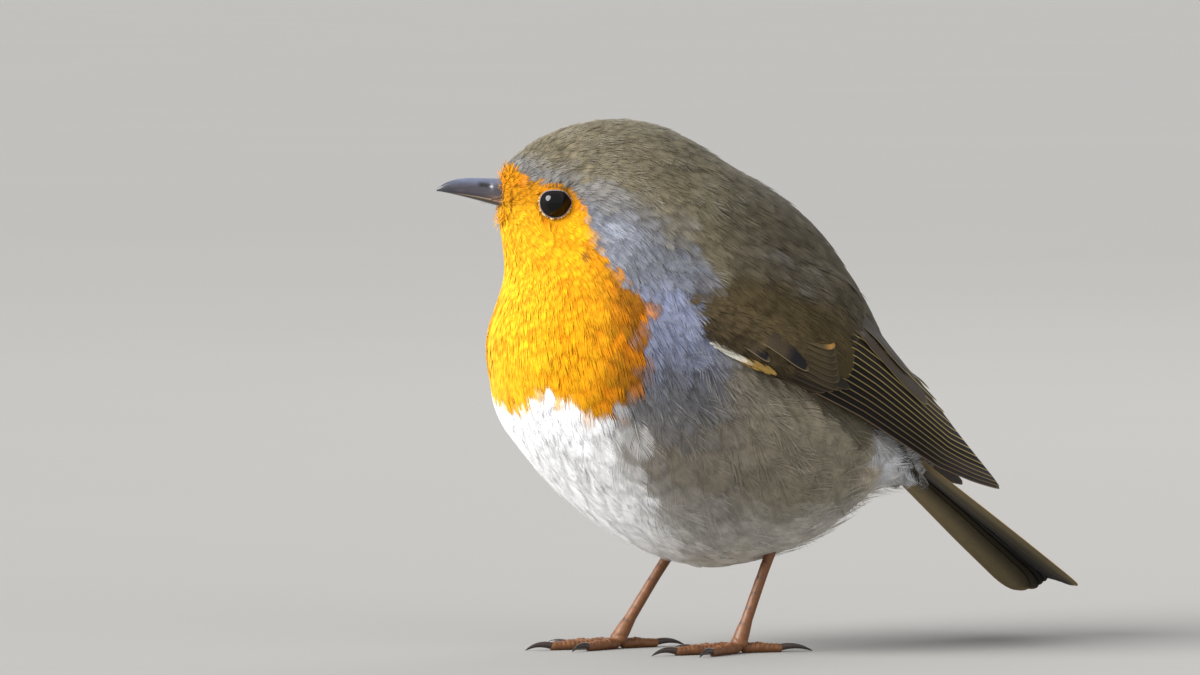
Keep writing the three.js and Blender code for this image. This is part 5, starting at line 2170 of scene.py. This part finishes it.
@dataclass
class FaceRows:
    """The beads of tiny feathers on the lower lids, and the bristles at the corners of the bill."""

    head: Head
    skin: Skin
    beads: int = 64
    bead_size: Sequence[float] = (0.15, 0.15, 0.36)
    bristles: int = 7
    bristle_size: Sequence[float] = (2.6, 2.6, 3.0)

    @staticmethod
    def _bead() -> tuple[Array, Array]:
        """Give a small rounded solid that stands on Z."""
        turn = np.linspace(-0.5 * math.pi + 0.05, 0.5 * math.pi - 0.05, 7)
        return tube(UP * (0.5 * np.sin(turn))[:, None], 0.5 * np.cos(turn), BACK, 8)

    @staticmethod
    def _bristle() -> tuple[Array, Array]:
        """Give a thin bristle of length one that rises on Z and bows along X."""
        s = np.linspace(0.0, 1.0, 9)[:, None]
        return tube(BACK * (0.18 * s ** 2) + UP * s, 0.018 * (1.0 - 0.85 * s), RIGHT, 6)

    def make(self, finish: Material) -> None:
        """Set both rows on both sides.

        Args:
            finish: The material.
        """
        row = Row()
        chance = np.random.default_rng(4)
        for side in Side:
            aim = self.head.aim(side)
            rim = self.skin.lid_rim(side, self.beads, 0.15)
            along = unit(np.roll(rim, -1, 0) - np.roll(rim, 1, 0))
            low = np.flatnonzero((rim[:, 2] < 0.28) & (chance.random(self.beads) < 0.86))
            rim, along = rim[low], along[low]
            out = unit(rim - aim * (rim @ aim)[:, None])
            spots = self.head.eyes[side] + rim * (self.head.radius(side) + 0.15)
            spots = spots + 0.03 * chance.normal(size=out.shape)
            settle(row.lay(f"lid_beads_{side}", self._bead(), "e6d6a6", spots, unit(rim + 1.2 * out), along,
                           self.bead_size, finish, 0.35, 3), "head_feathers")
            s = np.linspace(0.0, 1.0, self.bristles)
            beside = -side.value * (1.9 + 0.9 * s)
            roots = self.head.place(9.3 - 2.6 * s, beside, 0.5 + 1.3 * s - 1.2 * s ** 2)
            s, beside = s[:, None], -side.value * self.head.left
            aim = unit(self.head.ahead * 0.9 + beside * (0.35 + 0.3 * s) - UP * (0.1 + 0.5 * s))
            settle(row.lay(f"bristles_{side}", self._bristle(), "1c1815", roots, aim, -UP, self.bristle_size,
                           finish, 0.2, 5), "head_feathers")


@dataclass
class Studio:
    """A plain pale floor, soft light from the bird's front left, and the camera, in metres."""

    reach: float = 1.8
    view_width: float = 0.2069
    sensor: float = 36.0
    turn: float = math.radians(25.0)
    tilt: float = math.radians(2.5)
    target: tuple[float, float] = (-0.0287, 0.0536)  # to the right of the middle, and up
    floor_radius: float = 16.0

    def make(self, floor: Material) -> None:
        """Set everything up.

        Args:
            floor: The floor's finish.
        """
        scene = bpy.context.scene
        scene.view_settings.view_transform = "Standard"
        turn = circle(96)
        disc = np.stack([np.cos(turn), np.sin(turn), np.zeros(96)], -1) * self.floor_radius / MM
        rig.stage(mesh_object("floor", disc, np.arange(96)[None], floor))
        up = Vector(UP)
        right = Vector((math.cos(self.turn), -math.sin(self.turn), 0.0))
        out = Vector((-math.sin(self.turn), -math.cos(self.turn), 0.0))
        toward = out * math.cos(self.tilt) + up * math.sin(self.tilt)
        data = bpy.data.cameras.new("Camera")
        data.lens, data.sensor_width = self.sensor * self.reach / self.view_width, self.sensor
        data.clip_end = 100.0
        place = right * self.target[0] + up * self.target[1] + toward * self.reach
        scene.camera = self._hang(data, -toward, place)
        key = bpy.data.lights.new("key", "SUN")
        key.angle, key.energy = math.radians(38.0), 6.6
        self._hang(key, right * 0.95 - out * 0.50 - up * 0.62)
        centre = Vector((-0.01, 0.0, 0.05))
        for name, way, size in (("fill", (right * 0.75 + out * 0.9 + up * 0.45) * 1.1, 1.0),
                                ("rim", right * 0.6 - out * 0.9 + up * 0.9, 0.6)):
            lamp = bpy.data.lights.new(name, "AREA")
            lamp.size, lamp.energy = size, 4.0
            self._hang(lamp, -way, centre + way).visible_glossy = False
        world = bpy.data.worlds.new("Studio")
        world.use_nodes = True
        sky = world.node_tree.nodes["Background"].inputs
        sky["Color"].default_value, sky["Strength"].default_value = (0.93, 0.95, 1.0, 1.0), 0.85
        scene.world = world

    @staticmethod
    def _hang(data: bpy.types.ID, way: Vector, place: Sequence[float] = (0.0, 0.0, 0.0)) -> bpy.types.Object:
        """Place a camera or a lamp that faces one way.

        Args:
            data: The camera or lamp.
            way: The way that it faces.
            place: Where it stands.

        Returns:
            The linked object.
        """
        made = bpy.data.objects.new(data.name, data)
        made.location = place
        made.rotation_euler = way.to_track_quat("-Z", "Y").to_euler()
        bpy.context.scene.collection.objects.link(made)
        return made


def main() -> None:
    """Build the bird from the skin outwards, then the studio."""
    logging.basicConfig(level=logging.INFO, format="%(message)s")
    head = Head()
    wings = {side: Wing(side) for side in Side}
    markings = Markings(head, wings)
    outline = Outline(head)
    LOG.info("outline: %d points", len(outline.points))
    coat = Coat(outline, head, markings, wings)
    feather, vane = BarbFinish().make(), VaneFinish().make()
    skin = Skin(outline, head, markings, coat)
    skin.make(SkinFinish().make())
    coat.grow(feather, skin)
    Eyes(head).make(EyeFinish().make())
    FaceRows(head, skin).make(feather)
    for wing in wings.values():
        wing.make(vane, feather, outline)
    Tail().make(vane)
    Bill(head).make(HornFinish("bill_horn").make())
    Legs().make(LegFinish().make(), HornFinish("claw_horn", 0.28).make())
    Studio().make(FloorFinish().make())
    with open("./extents.json", "w") as file:
        json.dump({"cad": [list(map(float, c)) for c in CAD_BOX],
                   "visual": [list(map(float, c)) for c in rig.bounds()]}, file)


if __name__ == "__main__":
    main()
